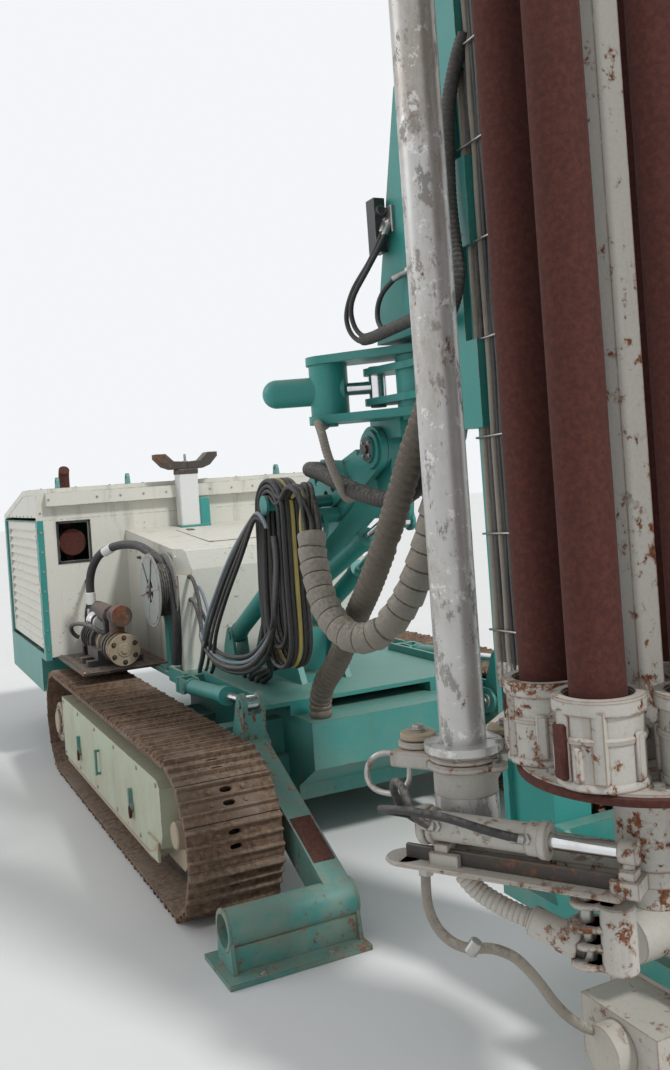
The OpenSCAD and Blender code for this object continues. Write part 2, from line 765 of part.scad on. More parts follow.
module boom() {
    color("darkcyan") {
        on_boom() difference() {
            union() {
                side_plate([-boom_w / 2, boom_w / 2])
                    polygon([
                        [60, -80], [220, -135], [1000, -120], [1180, -70],
                        [1180, 90], [900, 140], [220, 140], [60, 80]
                    ]);
                ycyl([0, 0], [-cheek_out, cheek_out], 90);
                for (y = [-cheek_out, cheek_in]) side_plate([y, y + cheek_t]) {
                    polygon([
                        [900, -110], [boom_len, -100], [boom_len, 10],
                        [boom_len - 92, 36], [1150, 50], [900, 120]
                    ]);
                    translate([boom_len, 0]) circle(r = 100);
                }
                for (y = [-cheek_out - 14, cheek_out - 1]) ycyl([boom_len, 0], [y, y + 15], 84);
                box([lift_eye_along - 50, lift_eye_along + 50], [-lift_y - 52, lift_y + 52], [-104, -70]);
                for (side = [-1, 1]) for (y = [-46, 30]) {
                    yc = side * lift_y;
                    side_plate([yc + y, yc + y + lug_t]) {
                        translate([lift_eye_along - 50, -lift_eye_below]) square([100, 45]);
                        translate([lift_eye_along, -lift_eye_below]) circle(r = 50);
                    }
                    ycyl(
                        [lift_eye_along, -lift_eye_below], y < 0 ? [yc - 52, yc - 30] : [yc + 30, yc + 52],
                        cylinder_pin_r
                    );
                }
            }
            ycyl([0, 0], [-cheek_out - 1, cheek_out + 1], boom_pin_r + pin_gap);
        }
        on_boom() for (y = [-46, 30]) side_plate([y, y + lug_t]) {
            link2d([tilt_base_along, -tilt_base_below], 48, [tilt_base_along, -130], 60);
        }
        on_boom() ycyl([tilt_base_along, -tilt_base_below], [-50, 50], cylinder_pin_r);
        on_boom() ycyl([boom_len, 0], [-cheek_out - 20, cheek_out + 20], boom_pin_r);
    }
    color("dimgray") on_boom() for (y = [-cheek_out - 26, cheek_out + 12])
        ycyl([boom_len, 0], [y, y + 14], 58);
}

module hose_hanger() {
    color("darkcyan") on_boom() {
        side_plate([-cheek_out - 20, -cheek_out]) difference() {
            polygon([[560, -40], [1000, -60], [1090, 0], [1060, 100], [900, 190], [640, 170], [560, 110]]);
            for (x = [760, 850, 940, 1020]) translate([x, 20]) circle(r = 24);
            for (x = [700, 790, 880]) translate([x, 125]) circle(r = 22);
        }
        box([700, 900], [-cheek_out - 1, -boom_w / 2], [0, 40]);
    }
    color("darkcyan") {
        ycyl(hank_bar, [-560, mast_y - cheek_out - 19], hank_bar_r);
        ycyl(hank_bar, [-572, -559], 46);
    }
}

// Barrel in its own frame, with its eye at the origin and its rod end at +X
module barrel(r, len, rod_r, eye_r, eye_w, pin_r, hollow_from) {
    difference() {
        union() {
            ycyl([0, 0], [-eye_w, eye_w], eye_r);
            xcyl([0, 0], [eye_r * 0.7, len], r);
            xcyl([0, 0], [len - 50, len + 14], r + 6);
            xcyl([0, 0], [eye_r * 0.7, eye_r + 28], r + 4);
        }
        ycyl([0, 0], [-eye_w - 1, eye_w + 1], pin_r + pin_gap);
        for (side = [-1, 1]) translate([0, side * (eye_w + r), 0])
            cube([2 * eye_r + 44, 2 * r, 3 * r], center = true);
        xcyl([0, 0], [hollow_from, len + 20], rod_r + pin_gap);
    }
}

// Rod in the barrel's frame, from its hidden end to the middle of its eye
module rod(r, from, len, eye_r, eye_w) {
    xcyl([0, 0], [from, len - eye_r * 0.6], r);
    ycyl([len, 0], [-eye_w, eye_w], eye_r);
}

module lift_barrels() {
    color("darkcyan") for (side = [-1, 1]) translate([0, mast_y + side * lift_y, 0])
        along(lift_base, lift_eye)
            barrel(lift_barrel_r, 780, lift_rod_r, 44, eye_half_w, cylinder_pin_r, 250);
}

module lift_rods() {
    color("silver") for (side = [-1, 1]) translate([0, mast_y + side * lift_y, 0])
        along(lift_base, lift_eye) rod(lift_rod_r, 400, norm(lift_eye - lift_base), 36, eye_half_w);
}

module tilt_barrel() {
    color("darkcyan") translate([0, mast_y, 0])
        along(tilt_base, tilt_eye) barrel(45, 640, tilt_rod_r, 44, eye_half_w, cylinder_pin_r, 120);
}

module tilt_rod() {
    color("silver") translate([0, mast_y, 0])
        along(tilt_base, tilt_eye) rod(tilt_rod_r, 200, norm(tilt_eye - tilt_base), 36, eye_half_w + 2);
}

module swivel_head() {
    pin = [swivel_x, mast_y];
    post = [swivel_x - 160, mast_y + 150];
    low = [swivel_low_z, swivel_low_z + swivel_plate_t];
    high = [swivel_top_z - swivel_plate_t, swivel_top_z];
    knuckle_w = cheek_in - 5;
    color("darkcyan") {
        difference() {
            union() {
                for (z = [low, high]) flat_plate(z) {
                    link2d(pin, 130, slew_trunnion, 95);
                    link2d(pin, 130, post, 70);
                }
                ycyl([boom_tip_x, boom_tip_z], [mast_y - knuckle_w, mast_y + knuckle_w], 95);
                box(
                    [boom_tip_x - 60, boom_tip_x + 210], [mast_y - knuckle_w, mast_y + knuckle_w],
                    [boom_tip_z + 40, low[1]]
                );
                box([post[0] - 40, post[0] + 40], [post[1] - 30, post[1] + 30], [low[0], high[1]]);
                for (y = [mast_y - 58, mast_y + 32]) side_plate([y, y + 26])
                    link2d([boom_tip_x, boom_tip_z], 90, tilt_eye, 46);
            }
            ycyl([boom_tip_x, boom_tip_z], [mast_y - 200, mast_y + 200], boom_pin_r + pin_gap);
            zcyl(slew_trunnion, [low[0] - 1, high[1] + 1], trunnion_r + pin_gap);
        }
        for (y = [mast_y - 64, mast_y + 52]) ycyl(tilt_eye, [y, y + 12], 30);
        zcyl(pin, [low[0] - 25, high[1] + 12], swivel_pin_r);
        zcyl(pin, [high[1] - 1, high[1] + 14], 84);
        zcyl(pin, [low[0] - 14, low[0] + 1], 84);
    }
}

// Places its children in the slew cylinder's frame: +X to its rod's eye
module on_slew() {
    a = atan2(slew_eye[1] - slew_trunnion[1], slew_eye[0] - slew_trunnion[0]);
    translate([slew_trunnion[0], slew_trunnion[1], slew_z]) rotate([0, 0, a]) children();
}

module slew_barrel() {
    gap = swivel_plate_t + side_gap;
    color("darkcyan") difference() {
        union() {
            on_slew() xcyl([0, 0], [-230, 60], slew_barrel_r);
            on_slew() translate([-230, 0, 0]) sphere(r = slew_barrel_r);
            on_slew() xcyl([0, 0], [40, 68], slew_barrel_r + 6);
            zcyl(slew_trunnion, [swivel_low_z + gap, swivel_top_z - gap], 84);
            zcyl(slew_trunnion, [swivel_low_z - 12, swivel_top_z + 8], trunnion_r);
        }
        on_slew() xcyl([0, 0], [-120, 90], slew_rod_r + pin_gap);
    }
}

module slew_rod() {
    color("silver") on_slew() {
        len = norm(slew_eye - slew_trunnion);
        xcyl([0, 0], [-60, len - 20], slew_rod_r);
        translate([len, 0, 0]) zcyl([0, 0], [-49.6, 49.6], 40);
    }
}

module mast_holder() {
    pin = [swivel_x, mast_y];
    half = mast_w / 2;
    flange = half + 25;
    claw_out = flange + 25;
    base_z = swivel_top_z + 22;
    low_z = swivel_low_z - 40;
    back_x = mast_x - slide_gap;
    plate_gap = swivel_plate_t + side_gap;
    color("darkcyan") {
        difference() {
            union() {
                zcyl(pin, [swivel_low_z + plate_gap, swivel_top_z - plate_gap], 104);
                for (span = SWIVEL_IN)
                    flat_plate([swivel_low_z + span[0], swivel_low_z + span[1]]) {
                        link2d(pin, 120, slew_eye, 58);
                        translate([pin[0], mast_y - 110]) square([260, 220]);
                    }
                box(
                    [pin[0] + 90, pin[0] + 260], [mast_y - 70, mast_y + 70],
                    [swivel_low_z + 66, swivel_low_z + 224]
                );
            }
            zcyl(pin, [swivel_low_z - 1, swivel_top_z + 1], swivel_pin_r + pin_gap);
        }
        for (span = SWIVEL_IN) {
            z = swivel_low_z + span[0];
            zcyl(slew_eye, span[0] < 100 ? [z - 8, z + 1] : [z + 29, z + 38], 34);
        }
        side_plate([mast_y - 100, mast_y + 100]) polygon([
            [pin[0] + 170, low_z], [back_x - 60, low_z - 60],
            [back_x - 60, base_z + 10], [pin[0] + 170, base_z + 10]
        ]);
        side_plate([mast_y - 130, mast_y + 130]) polygon([
            [boom_tip_x + 160, base_z], [back_x - 59, base_z], [back_x - 59, holder_top_z],
            [1700, holder_top_z], [1560, holder_top_z - 120], [boom_tip_x + 180, base_z + 90]
        ]);
        box([back_x - 60, back_x], [mast_y - claw_out, mast_y + claw_out], [low_z - 60, holder_top_z]);
        for (z = [low_z - 60, 2520, 3120]) for (side = [0, 1])
            translate([0, mast_y, 0]) mirror([0, side, 0]) {
                box([back_x - 1, mast_x + 30 + slide_gap + 34], [flange + slide_gap, claw_out], [z, z + 300]);
                box(
                    [mast_x + 30 + slide_gap, mast_x + 30 + slide_gap + 34], [half + slide_gap, claw_out],
                    [z, z + 300]
                );
            }
    }
}

module mast_lamp() {
    side_y = mast_y - 130;
    color("black") {
        box([1378, 1446], [side_y - 62, side_y - 12], [2670, 2890]);
        box([1392, 1432], [side_y - 12, side_y], [2730, 2830]);
        xcyl([side_y - 37, 2836], [1445, 1462], 20);
    }
}

module mast_beam() {
    half = mast_w / 2;
    flange = half + 25;
    sheave = [mast_front_x - 70, mast_top_z + 110];
    color("darkcyan") {
        translate([0, mast_y, mast_bottom_z]) linear_extrude(mast_len) {
            difference() {
                union() {
                    translate([mast_x, -flange]) square([30, 2 * flange]);
                    translate([mast_x, -half]) square([mast_d, 2 * half]);
                    translate([mast_front_x - rail_t, -flange]) square([rail_t, 2 * flange]);
                }
                translate([mast_x + 30, -half + mast_plate_t])
                    square([mast_d - 30 - mast_plate_t, 2 * (half - mast_plate_t)]);
                translate([mast_x + 60, -70]) square([mast_d, 140]);
            }
        }
        box([mast_x + 20, mast_front_x + 60], [mast_y - half, mast_y + half], [mast_top_z, mast_top_z + 30]);
        for (y = [mast_y - 110, mast_y + 90])
            side_plate([y, y + 20]) link2d(sheave, 70, [mast_front_x - 90, mast_top_z + 20], 110);
    }
    color("dimgray") ycyl(sheave, [mast_y - 89, mast_y + 89], 95);
}

module mast_foot() {
    width = [mast_y - 230, mast_y + 230];
    color("darkcyan") difference() {
        union() {
            box([mast_x - 20, drill_x + 190], width, [mast_bottom_z - foot_plate_t, mast_bottom_z]);
            for (y = [mast_y - 230, mast_y + 210]) side_plate([y, y + 20]) polygon([
                [mast_front_x + 60, mast_bottom_z - 1], [drill_x - 120, mast_bottom_z - 1],
                [mast_front_x + 60, mast_bottom_z + 260]
            ]);
            box([mast_front_x + 1, mast_front_x + 61], width, [mast_bottom_z - 1, mast_bottom_z + 260]);
        }
        zcyl([drill_x, mast_y], [mast_bottom_z - 70, mast_bottom_z + 10], clamp_bore_r);
    }
}

module clamp_block() {
    at = [drill_x, mast_y];
    under_z = mast_bottom_z - foot_plate_t;
    top_z = mast_bottom_z + 190;
    color("lightgray") {
        difference() {
            union() {
                box([drill_x - 250, drill_x + 250], [mast_y - 210, mast_y + 210], [clamp_low_z, under_z]);
                box(
                    [drill_x - 150, drill_x + 150], [mast_y - 400, mast_y + 400],
                    [clamp_low_z + 30, under_z - 30]
                );
                box([drill_x - 180, drill_x + 180], [mast_y - 190, mast_y + 190], [mast_bottom_z, top_z]);
            }
            zcyl(at, [clamp_low_z - 10, top_z + 10], clamp_bore_r);
        }
        translate([0, mast_y, 0]) both_sides() {
            ycyl([drill_x, (clamp_low_z + under_z) / 2], [399, 460], 70);
            ycyl([drill_x, mast_bottom_z + 95], [189, 330], 62);
        }
    }
}

module mast_brackets() {
    side_y = mast_y - mast_w / 2;
    color("lightgray") difference() {
        union() {
            for (span = [BRACKET_LOW, BRACKET_HIGH]) {
                flat_plate(span) {
                    polygon([
                        [mast_x + 75, side_y], [mast_x + 75, side_y - 40], [tube_x - 80, tube_y - 10],
                        [tube_x + 70, tube_y + 45], [mast_x + 165, side_y - 30], [mast_x + 165, side_y]
                    ]);
                    translate([tube_x, tube_y]) circle(r = 88);
                }
                zcyl([tube_x, tube_y], [span[0] - 20, span[1] + 45], 88);
                box([mast_x + 75, mast_x + 165], [side_y - 30, side_y], [span[0] - 70, span[1] + 70]);
            }
        }
        zcyl([tube_x, tube_y], [BRACKET_LOW[0] - 100, BRACKET_HIGH[1] + 75], tube_r + pin_gap);
    }
}

module mast_hoses() {
    side_y = mast_y - mast_w / 2;
    color("black") for (i = [0:4])
        for (z = [[BRACKET_LOW[1] + 80, BRACKET_HIGH[0] - 90], [BRACKET_HIGH[1] + 85, mast_top_z - 650]])
            zcyl([mast_x + 85 + i * 24, side_y - 11.5], z, 11.5);
}

module feed_chain() {
    link = 60;
    links = floor((mast_len - 300) / link);
    x = mast_front_x - 75;
    color("dimgray") for (y = [-30, 30]) translate([0, mast_y + y, 0]) side_plate([-14, 14]) polygon(concat(
        [
            for (i = [0:links - 1]) for (p = [[0, 0], [12, 14], [48, 14]])
                [x + p[1], mast_bottom_z + i * link + p[0]]
        ],
        [[x, mast_bottom_z + links * link], [x - 14, mast_bottom_z + links * link], [x - 14, mast_bottom_z]]
    ));
}

module rotary_head() {
    half = mast_w / 2;
    flange = half + 25;
    face_x = mast_front_x + slide_gap;
    back_x = mast_front_x - rail_t - slide_gap;
    case_z = head_z + 160;
    color("darkcyan") {
        difference() {
            union() {
                box([face_x, face_x + 40], [mast_y - 250, mast_y + 250], [head_z + 40, head_z + 860]);
                for (side = [0, 1]) translate([0, mast_y, 0]) mirror([0, side, 0])
                    for (z = [head_z + 40, head_z + 620]) {
                        box([back_x - 20, face_x + 1], [flange + slide_gap, 250], [z, z + 240]);
                        box([back_x - 20, back_x], [half + slide_gap, 250], [z, z + 240]);
                    }
                box([face_x + 39, drill_x - 60], [mast_y - 180, mast_y + 180], [case_z, case_z + 320]);
                zcyl([drill_x, mast_y], [case_z, case_z + 320], 150);
                zcyl([drill_x, mast_y], [case_z - 40, case_z + 360], 118);
            }
            zcyl([drill_x, mast_y], [head_z, case_z + 400], 62 + pin_gap);
        }
    }
    color("dimgray") {
        for (y = [mast_y - 110, mast_y + 110]) {
            zcyl([drill_x - 200, y], [case_z + 319, case_z + 560], 66);
            zcyl([drill_x - 200, y], [case_z + 319, case_z + 350], 88);
        }
    }
}

module spindle() {
    case_z = head_z + 160;
    color("silver") {
        zcyl([drill_x, mast_y], [head_z + 100, case_z + 420], 62);
        zcyl([drill_x, mast_y], [head_z + 10, case_z - 41], 84);
        zcyl([drill_x, mast_y], [head_z - 110, head_z + 11], 50);
        zcyl([drill_x, mast_y], [case_z + 361, case_z + 520], 80);
    }
}

module swing_tube() {
    at = [tube_x, tube_y];
    color("silver") {
        zcyl(at, [tube_low_z, tube_top_z], tube_r);
        zcyl(at, [BRACKET_LOW[1] + 45 + side_gap, BRACKET_LOW[1] + 67], 108);
        zcyl(at, [BRACKET_HIGH[1] + 45 + side_gap, BRACKET_HIGH[1] + 62], 92);
        difference() {
            zcyl(at, [tube_low_z + 60, BRACKET_LOW[0] - 20 - side_gap], 88);
            zcyl(at, [tube_low_z, BRACKET_LOW[1]], tube_r - 1);
        }
    }
}

// Places its children in the magazine arm's frame: origin at the swing tube, +X to the carousel
module on_arm() {
    translate([tube_x, tube_y, 0]) rotate([0, 0, arm_deg]) children();
}

module magazine_arms() {
    color("lightgray") difference() {
        union() {
            for (span = [ARM_LOW, ARM_HIGH]) on_arm() flat_plate(span)
                link2d([0, 0], 108, [arm_len, 0], 88);
            on_arm() box([-42, 42], [-165, -60], ARM_LOW);
            on_arm() box([arm_len - 60, arm_len + 10], [-165, -60], ARM_LOW);
            on_arm() for (x = [-30, arm_len - 40])
                box([x, x + 40], [-157, -107], [ARM_LOW[1] - 1, ARM_LOW[1] + 22]);
        }
        zcyl([tube_x, tube_y], [tube_low_z, tube_top_z], tube_r + pin_gap);
        on_arm() zcyl([arm_len, 0], [ARM_HIGH[0] - 1, ARM_HIGH[1] + 1], 30 + pin_gap);
    }
    color("lightgray") on_arm() {
        zcyl([arm_len, 0], [ARM_LOW[0] - 50, 990], 40);
        zcyl([arm_len, 0], [ARM_LOW[0] - 60, ARM_LOW[0] + 1], 70);
        zcyl([98, 66], [ARM_LOW[0] - 30, ARM_LOW[1] + 20], 22);
    }
}

module index_cylinder() {
    z = ARM_LOW[1] + 62;
    color("ivory") on_arm() {
        xcyl([index_y, z], [-60, 250], 38);
        xcyl([index_y, z], [230, 268], 42);
        zcyl([-30, index_y], [ARM_LOW[1] + 22, z], 16);
    }
    color("silver") on_arm() xcyl([index_y, z], [267, arm_len - 30], 18.5);
    color("black") on_arm() {
        xcyl([index_y, z], [arm_len - 40, arm_len + 4], 28);
        zcyl([arm_len - 20, index_y], [ARM_LOW[1] + 22, z], 14);
    }
}

// Places one child at each casing of the carousel
module at_casings() {
    for (i = [0:casing_count - 1])
        translate([carousel_x, carousel_y, 0]) rotate([0, 0, casing_phase + i * 60])
            translate([casing_circle_r, 0, 0]) children();
}

module carousel() {
    at = [carousel_x, carousel_y];
    cup_top = casing_z + 170;
    color("lightgray") {
        difference() {
            union() {
                zcyl(at, [disc_top_z - 22, disc_top_z], disc_r);
                zcyl(at, [ARM_LOW[1] + side_gap, disc_top_z - 21], 88);
                zcyl(at, [disc_top_z - 64, disc_top_z - 50], 185);
                box([at[0] - 40, at[0] + 40], [at[1] - 40, at[1] + 40], [disc_top_z - 1, casing_top_z + 10]);
                flat_plate([casing_top_z - 190, casing_top_z - 160]) {
                    translate(at) circle(r = 150);
                    for (i = [0:casing_count - 1]) translate(at) rotate(casing_phase + i * 60)
                        translate([0, -34]) square([casing_circle_r + 20, 68]);
                }
                zcyl(at, [casing_top_z + 9, ARM_HIGH[0] - side_gap], 60);
                zcyl(at, [casing_top_z + 10, ARM_HIGH[1] + 30], 30);
                at_casings() {
                    zcyl([0, 0], [disc_top_z - 1, cup_top], cup_r);
                    zcyl([0, 0], [cup_top - 30, cup_top], cup_r + 8);
                    for (y = [-58, 28])
                        box([cup_r - 30, cup_r], [y, y + 30], [disc_top_z + 20, cup_top - 20]);
                    zcyl([0, 0], [casing_top_z - 200, casing_top_z - 150], casing_r + 16);
                }
            }
            zcyl(at, [ARM_LOW[1], 991], 40 + pin_gap);
            at_casings() {
                zcyl([0, 0], [casing_z, casing_top_z], casing_r + 0.3);
                zcyl([0, 0], [cup_top - 60, cup_top + 1], casing_r + 14);
            }
        }
    }
}

module casings() {
    color("brown") at_casings() difference() {
        zcyl([0, 0], [casing_z, casing_top_z], casing_r);
        zcyl([0, 0], [casing_z + 12, casing_top_z + 1], casing_r - casing_wall);
    }
}

module outrigger() {
    foot = [rigger_x + foot_ahead, foot_z];
    half = rigger_w / 2;
    foot_in = rigger_y - half - 5;
    color("darkcyan") {
        difference() {
            union() {
                side_plate([rigger_y - half, rigger_y + half]) {
                    link2d([rigger_x, rigger_z], 78, foot, foot_r - 4);
                    link2d([rigger_x, rigger_z], 78, rigger_top, 46);
                }
                ycyl(foot, [foot_in, foot_in + foot_len], foot_r);
                for (y = [foot_in, foot_in + foot_len - 16]) side_plate([y, y + 16])
                    polygon([
                        [foot[0] - 84, 18], [foot[0] + 90, 18],
                        [foot[0] + 60, foot_z + 40], [foot[0] - 60, foot_z + 40]
                    ]);
                box([foot[0] - 70, foot[0] + 70], [foot_in, foot_in + foot_len], [18, foot_z - 40]);
                box([foot[0] - 140, foot[0] + 150], [foot_in - 5, track_gauge / 2 + shoe_w / 2 - 5], [0, 20]);
            }
            ycyl(foot, [foot_in - 10, foot_in + foot_len + 20], foot_r - 15);
            ycyl([rigger_x, rigger_z], [0, 900], rigger_pin_r + pin_gap);
            side_plate([rigger_y - 30, rigger_y + 30]) {
                translate(rigger_top) circle(r = 60);
                translate([rigger_top[0] - 90, rigger_top[1] - 60]) square([90, 120]);
            }
        }
        for (y = [rigger_y - half - 8, rigger_y + half - 18]) ycyl(rigger_top, [y, y + 26], 20);
    }
}

module outrigger_right() {
    mirror([0, 1, 0]) outrigger();
}

module outrigger_left() {
    outrigger();
}

module rigger_barrel() {
    color("darkcyan") translate([0, rigger_y, 0])
        along(rigger_base, rigger_top) barrel(40, 600, 22, 36, eye_half_w, 20, 60);
}

module rigger_barrel_right() {
    mirror([0, 1, 0]) rigger_barrel();
}

module rigger_barrel_left() {
    rigger_barrel();
}

module rigger_rod() {
    color("silver") translate([0, rigger_y, 0])
        along(rigger_base, rigger_top) rod(22, 300, norm(rigger_top - rigger_base), 34, eye_half_w);
}

module rigger_rod_right() {
    mirror([0, 1, 0]) rigger_rod();
}

module rigger_rod_left() {
    rigger_rod();
}

module hose_hank() {
    color("black") side_plate([-555, -435]) difference() {
        link2d(hank_top, 175, [700, 1040], 185);
        link2d(hank_top, hank_hole_r, [700, 1040], 70);
    }
}

function catmull(p, i, t) =
    let (
        a = p[max(i - 1, 0)], b = p[i], c = p[i + 1], d = p[min(i + 2, len(p) - 1)]
    )
    0.5 * (2 * b + (c - a) * t + (2 * a - 5 * b + 4 * c - d) * t * t + (3 * b - a - 3 * c + d) * t * t * t);

function smooth(p, steps) = concat(
    [for (i = [0:len(p) - 2]) for (s = [0:steps - 1]) catmull(p, i, s / steps)], [p[len(p) - 1]]
);

function unit(v) = v / norm(v);

function ring_frame(path, i) =
    let (
        along_path = unit(path[min(i + 1, len(path) - 1)] - path[max(i - 1, 0)]),
        side = unit(cross(along_path, abs(along_path[1]) < 0.8 ? [0, 1, 0] : [1, 0, 0]))
    )
    [side, cross(along_path, side)];

// Round tube swept along a smooth path
module hose(points, r, sides, steps) {
    path = smooth(points, steps);
    rings = len(path);
    polyhedron(
        points = [
            for (i = [0:rings - 1]) let (f = ring_frame(path, i)) for (k = [0:sides - 1])
                path[i] + r * (cos(k * 360 / sides) * f[0] + sin(k * 360 / sides) * f[1])
        ],
        faces = concat(
            [[for (k = [0:sides - 1]) k]],
            [for (i = [0:rings - 2]) for (k = [0:sides - 1]) [
                i * sides + k, (i + 1) * sides + k,
                (i + 1) * sides + (k + 1) % sides, i * sides + (k + 1) % sides
            ]],
            [[for (k = [sides - 1:-1:0]) (rings - 1) * sides + k]]
        )
    );
}

// Columns: route of the hose bundle, then its radius
SLEEVES = [
    [[
        [966, boom_side_y, 1760], [966, -265, 1760], [966, -320, 1760], [985, -420, 1715], [1030, -485, 1600],
        [1100, -515, 1420], [1210, -525, 1230], [1360, -495, 1120], [1500, -430, 1140], [1610, -360, 1270],
        [1690, -310, 1450], [1760, -280, 1650], [1830, -272, 1830], [1905, -272, 1945], [1975, -272, 1985],
        [2015, -272, 1985], [guide_back_x, -272, 1985]
    ], 60],
    [[
        [guide_back_x, -285, 2120], [2010, -285, 2120], [1950, -285, 2120], [1830, -305, 2045],
        [1730, -338, 1880], [1640, -365, 1700], [1520, -385, 1500], [1380, -390, 1330], [1230, -380, 1200],
        [1080, -365, 1080], [950, -350, 970], [850, -345, 890], [750, -345, 815], [695, -345, 740],
        [680, -345, 700], [680, -345, 670], [680, -345, deck_z + touch_gap]
    ], 52],
    [[
        [742, hanger_side_y, 1811], [742, -265, 1811], [742, -295, 1811], [775, -350, 1812],
        [860, -388, 1808],
        [1000, -397, 1785], [1150, -395, 1745], [1320, -370, 1690], [1480, -315, 1660], [1600, -262, 1710],
        [1680, -240, 1820], [1740, -238, 1960], [1800, -238, 2085], [1880, -240, 2185], [1960, -242, 2215],
        [2010, -242, 2215], [guide_back_x, -242, 2215]
    ], 36]
];

module sleeve_hoses() {
    color("tan") for (h = SLEEVES) hose(h[0], h[1], 10, 2);
}

track_right();
track_left();
track_frames();
sprockets();
idlers();
rollers();
track_covers();
cover_fittings();
carbody();
deck();
engine_housing();
housing_front();
housing_roof();
lifting_eyes();
engine_block();
exhaust();
side_door_right();
side_door_left();
hood();
mast_rest();
mud_pump();
pump_motor();
pump_skid();
reel_bracket();
hose_reel();
boom_foot();
boom();
hose_hanger();
lift_barrels();
lift_rods();
tilt_barrel();
tilt_rod();
swivel_head();
slew_barrel();
slew_rod();
mast_holder();
mast_lamp();
mast_beam();
mast_foot();
mast_brackets();
mast_hoses();
feed_chain();
rotary_head();
spindle();
clamp_block();
swing_tube();
magazine_arms();
index_cylinder();
carousel();
casings();
outrigger_right();
outrigger_left();
rigger_barrel_right();
rigger_barrel_left();
rigger_rod_right();
rigger_rod_left();
hose_hank();
sleeve_hoses();
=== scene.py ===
"""Looks of the crawler pile drilling rig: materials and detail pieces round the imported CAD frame.
"""

import itertools
import math
import random

import bpy
from mathutils import Matrix, Vector


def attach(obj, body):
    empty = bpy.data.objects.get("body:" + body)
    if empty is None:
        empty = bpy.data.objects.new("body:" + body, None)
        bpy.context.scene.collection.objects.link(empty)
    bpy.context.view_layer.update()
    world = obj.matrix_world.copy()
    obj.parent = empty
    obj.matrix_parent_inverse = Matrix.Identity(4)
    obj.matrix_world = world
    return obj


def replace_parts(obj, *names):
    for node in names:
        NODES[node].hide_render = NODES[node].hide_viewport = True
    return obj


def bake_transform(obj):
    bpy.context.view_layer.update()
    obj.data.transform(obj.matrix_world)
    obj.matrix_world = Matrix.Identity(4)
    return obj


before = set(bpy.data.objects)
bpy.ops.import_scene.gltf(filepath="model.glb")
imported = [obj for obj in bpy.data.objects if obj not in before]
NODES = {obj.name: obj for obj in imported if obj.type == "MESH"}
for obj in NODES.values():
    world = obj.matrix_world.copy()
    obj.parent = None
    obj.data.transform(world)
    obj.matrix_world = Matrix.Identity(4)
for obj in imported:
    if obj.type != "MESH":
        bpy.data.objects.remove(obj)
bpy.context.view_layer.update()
MM = 0.001

# ---------------------------------------------------------------- camera, fitted to the photo's vanishing points
CAM_AT = Vector((5.01, -2.26, 1.755))
CAM_RIGHT = Vector((0.432, 0.902, 0)).normalized()
CAM_BACK = Vector((0.902, -0.432, 0)).normalized()
CAM_ROLL = 0.07


def make_camera():
    data = bpy.data.cameras.new("camera")
    data.sensor_fit = "AUTO"
    data.sensor_width = 36
    data.lens = 33.64
    data.shift_y = -0.0514
    cam = bpy.data.objects.new("camera", data)
    bpy.context.scene.collection.objects.link(cam)
    up = Vector((0, 0, 1))
    right = (CAM_RIGHT - CAM_ROLL * up).normalized()
    top = (up + CAM_ROLL * CAM_RIGHT).normalized()
    turn = Matrix((right, top, CAM_BACK)).transposed()
    cam.matrix_world = Matrix.Translation(CAM_AT) @ turn.to_4x4()
    bpy.context.scene.camera = cam


make_camera()


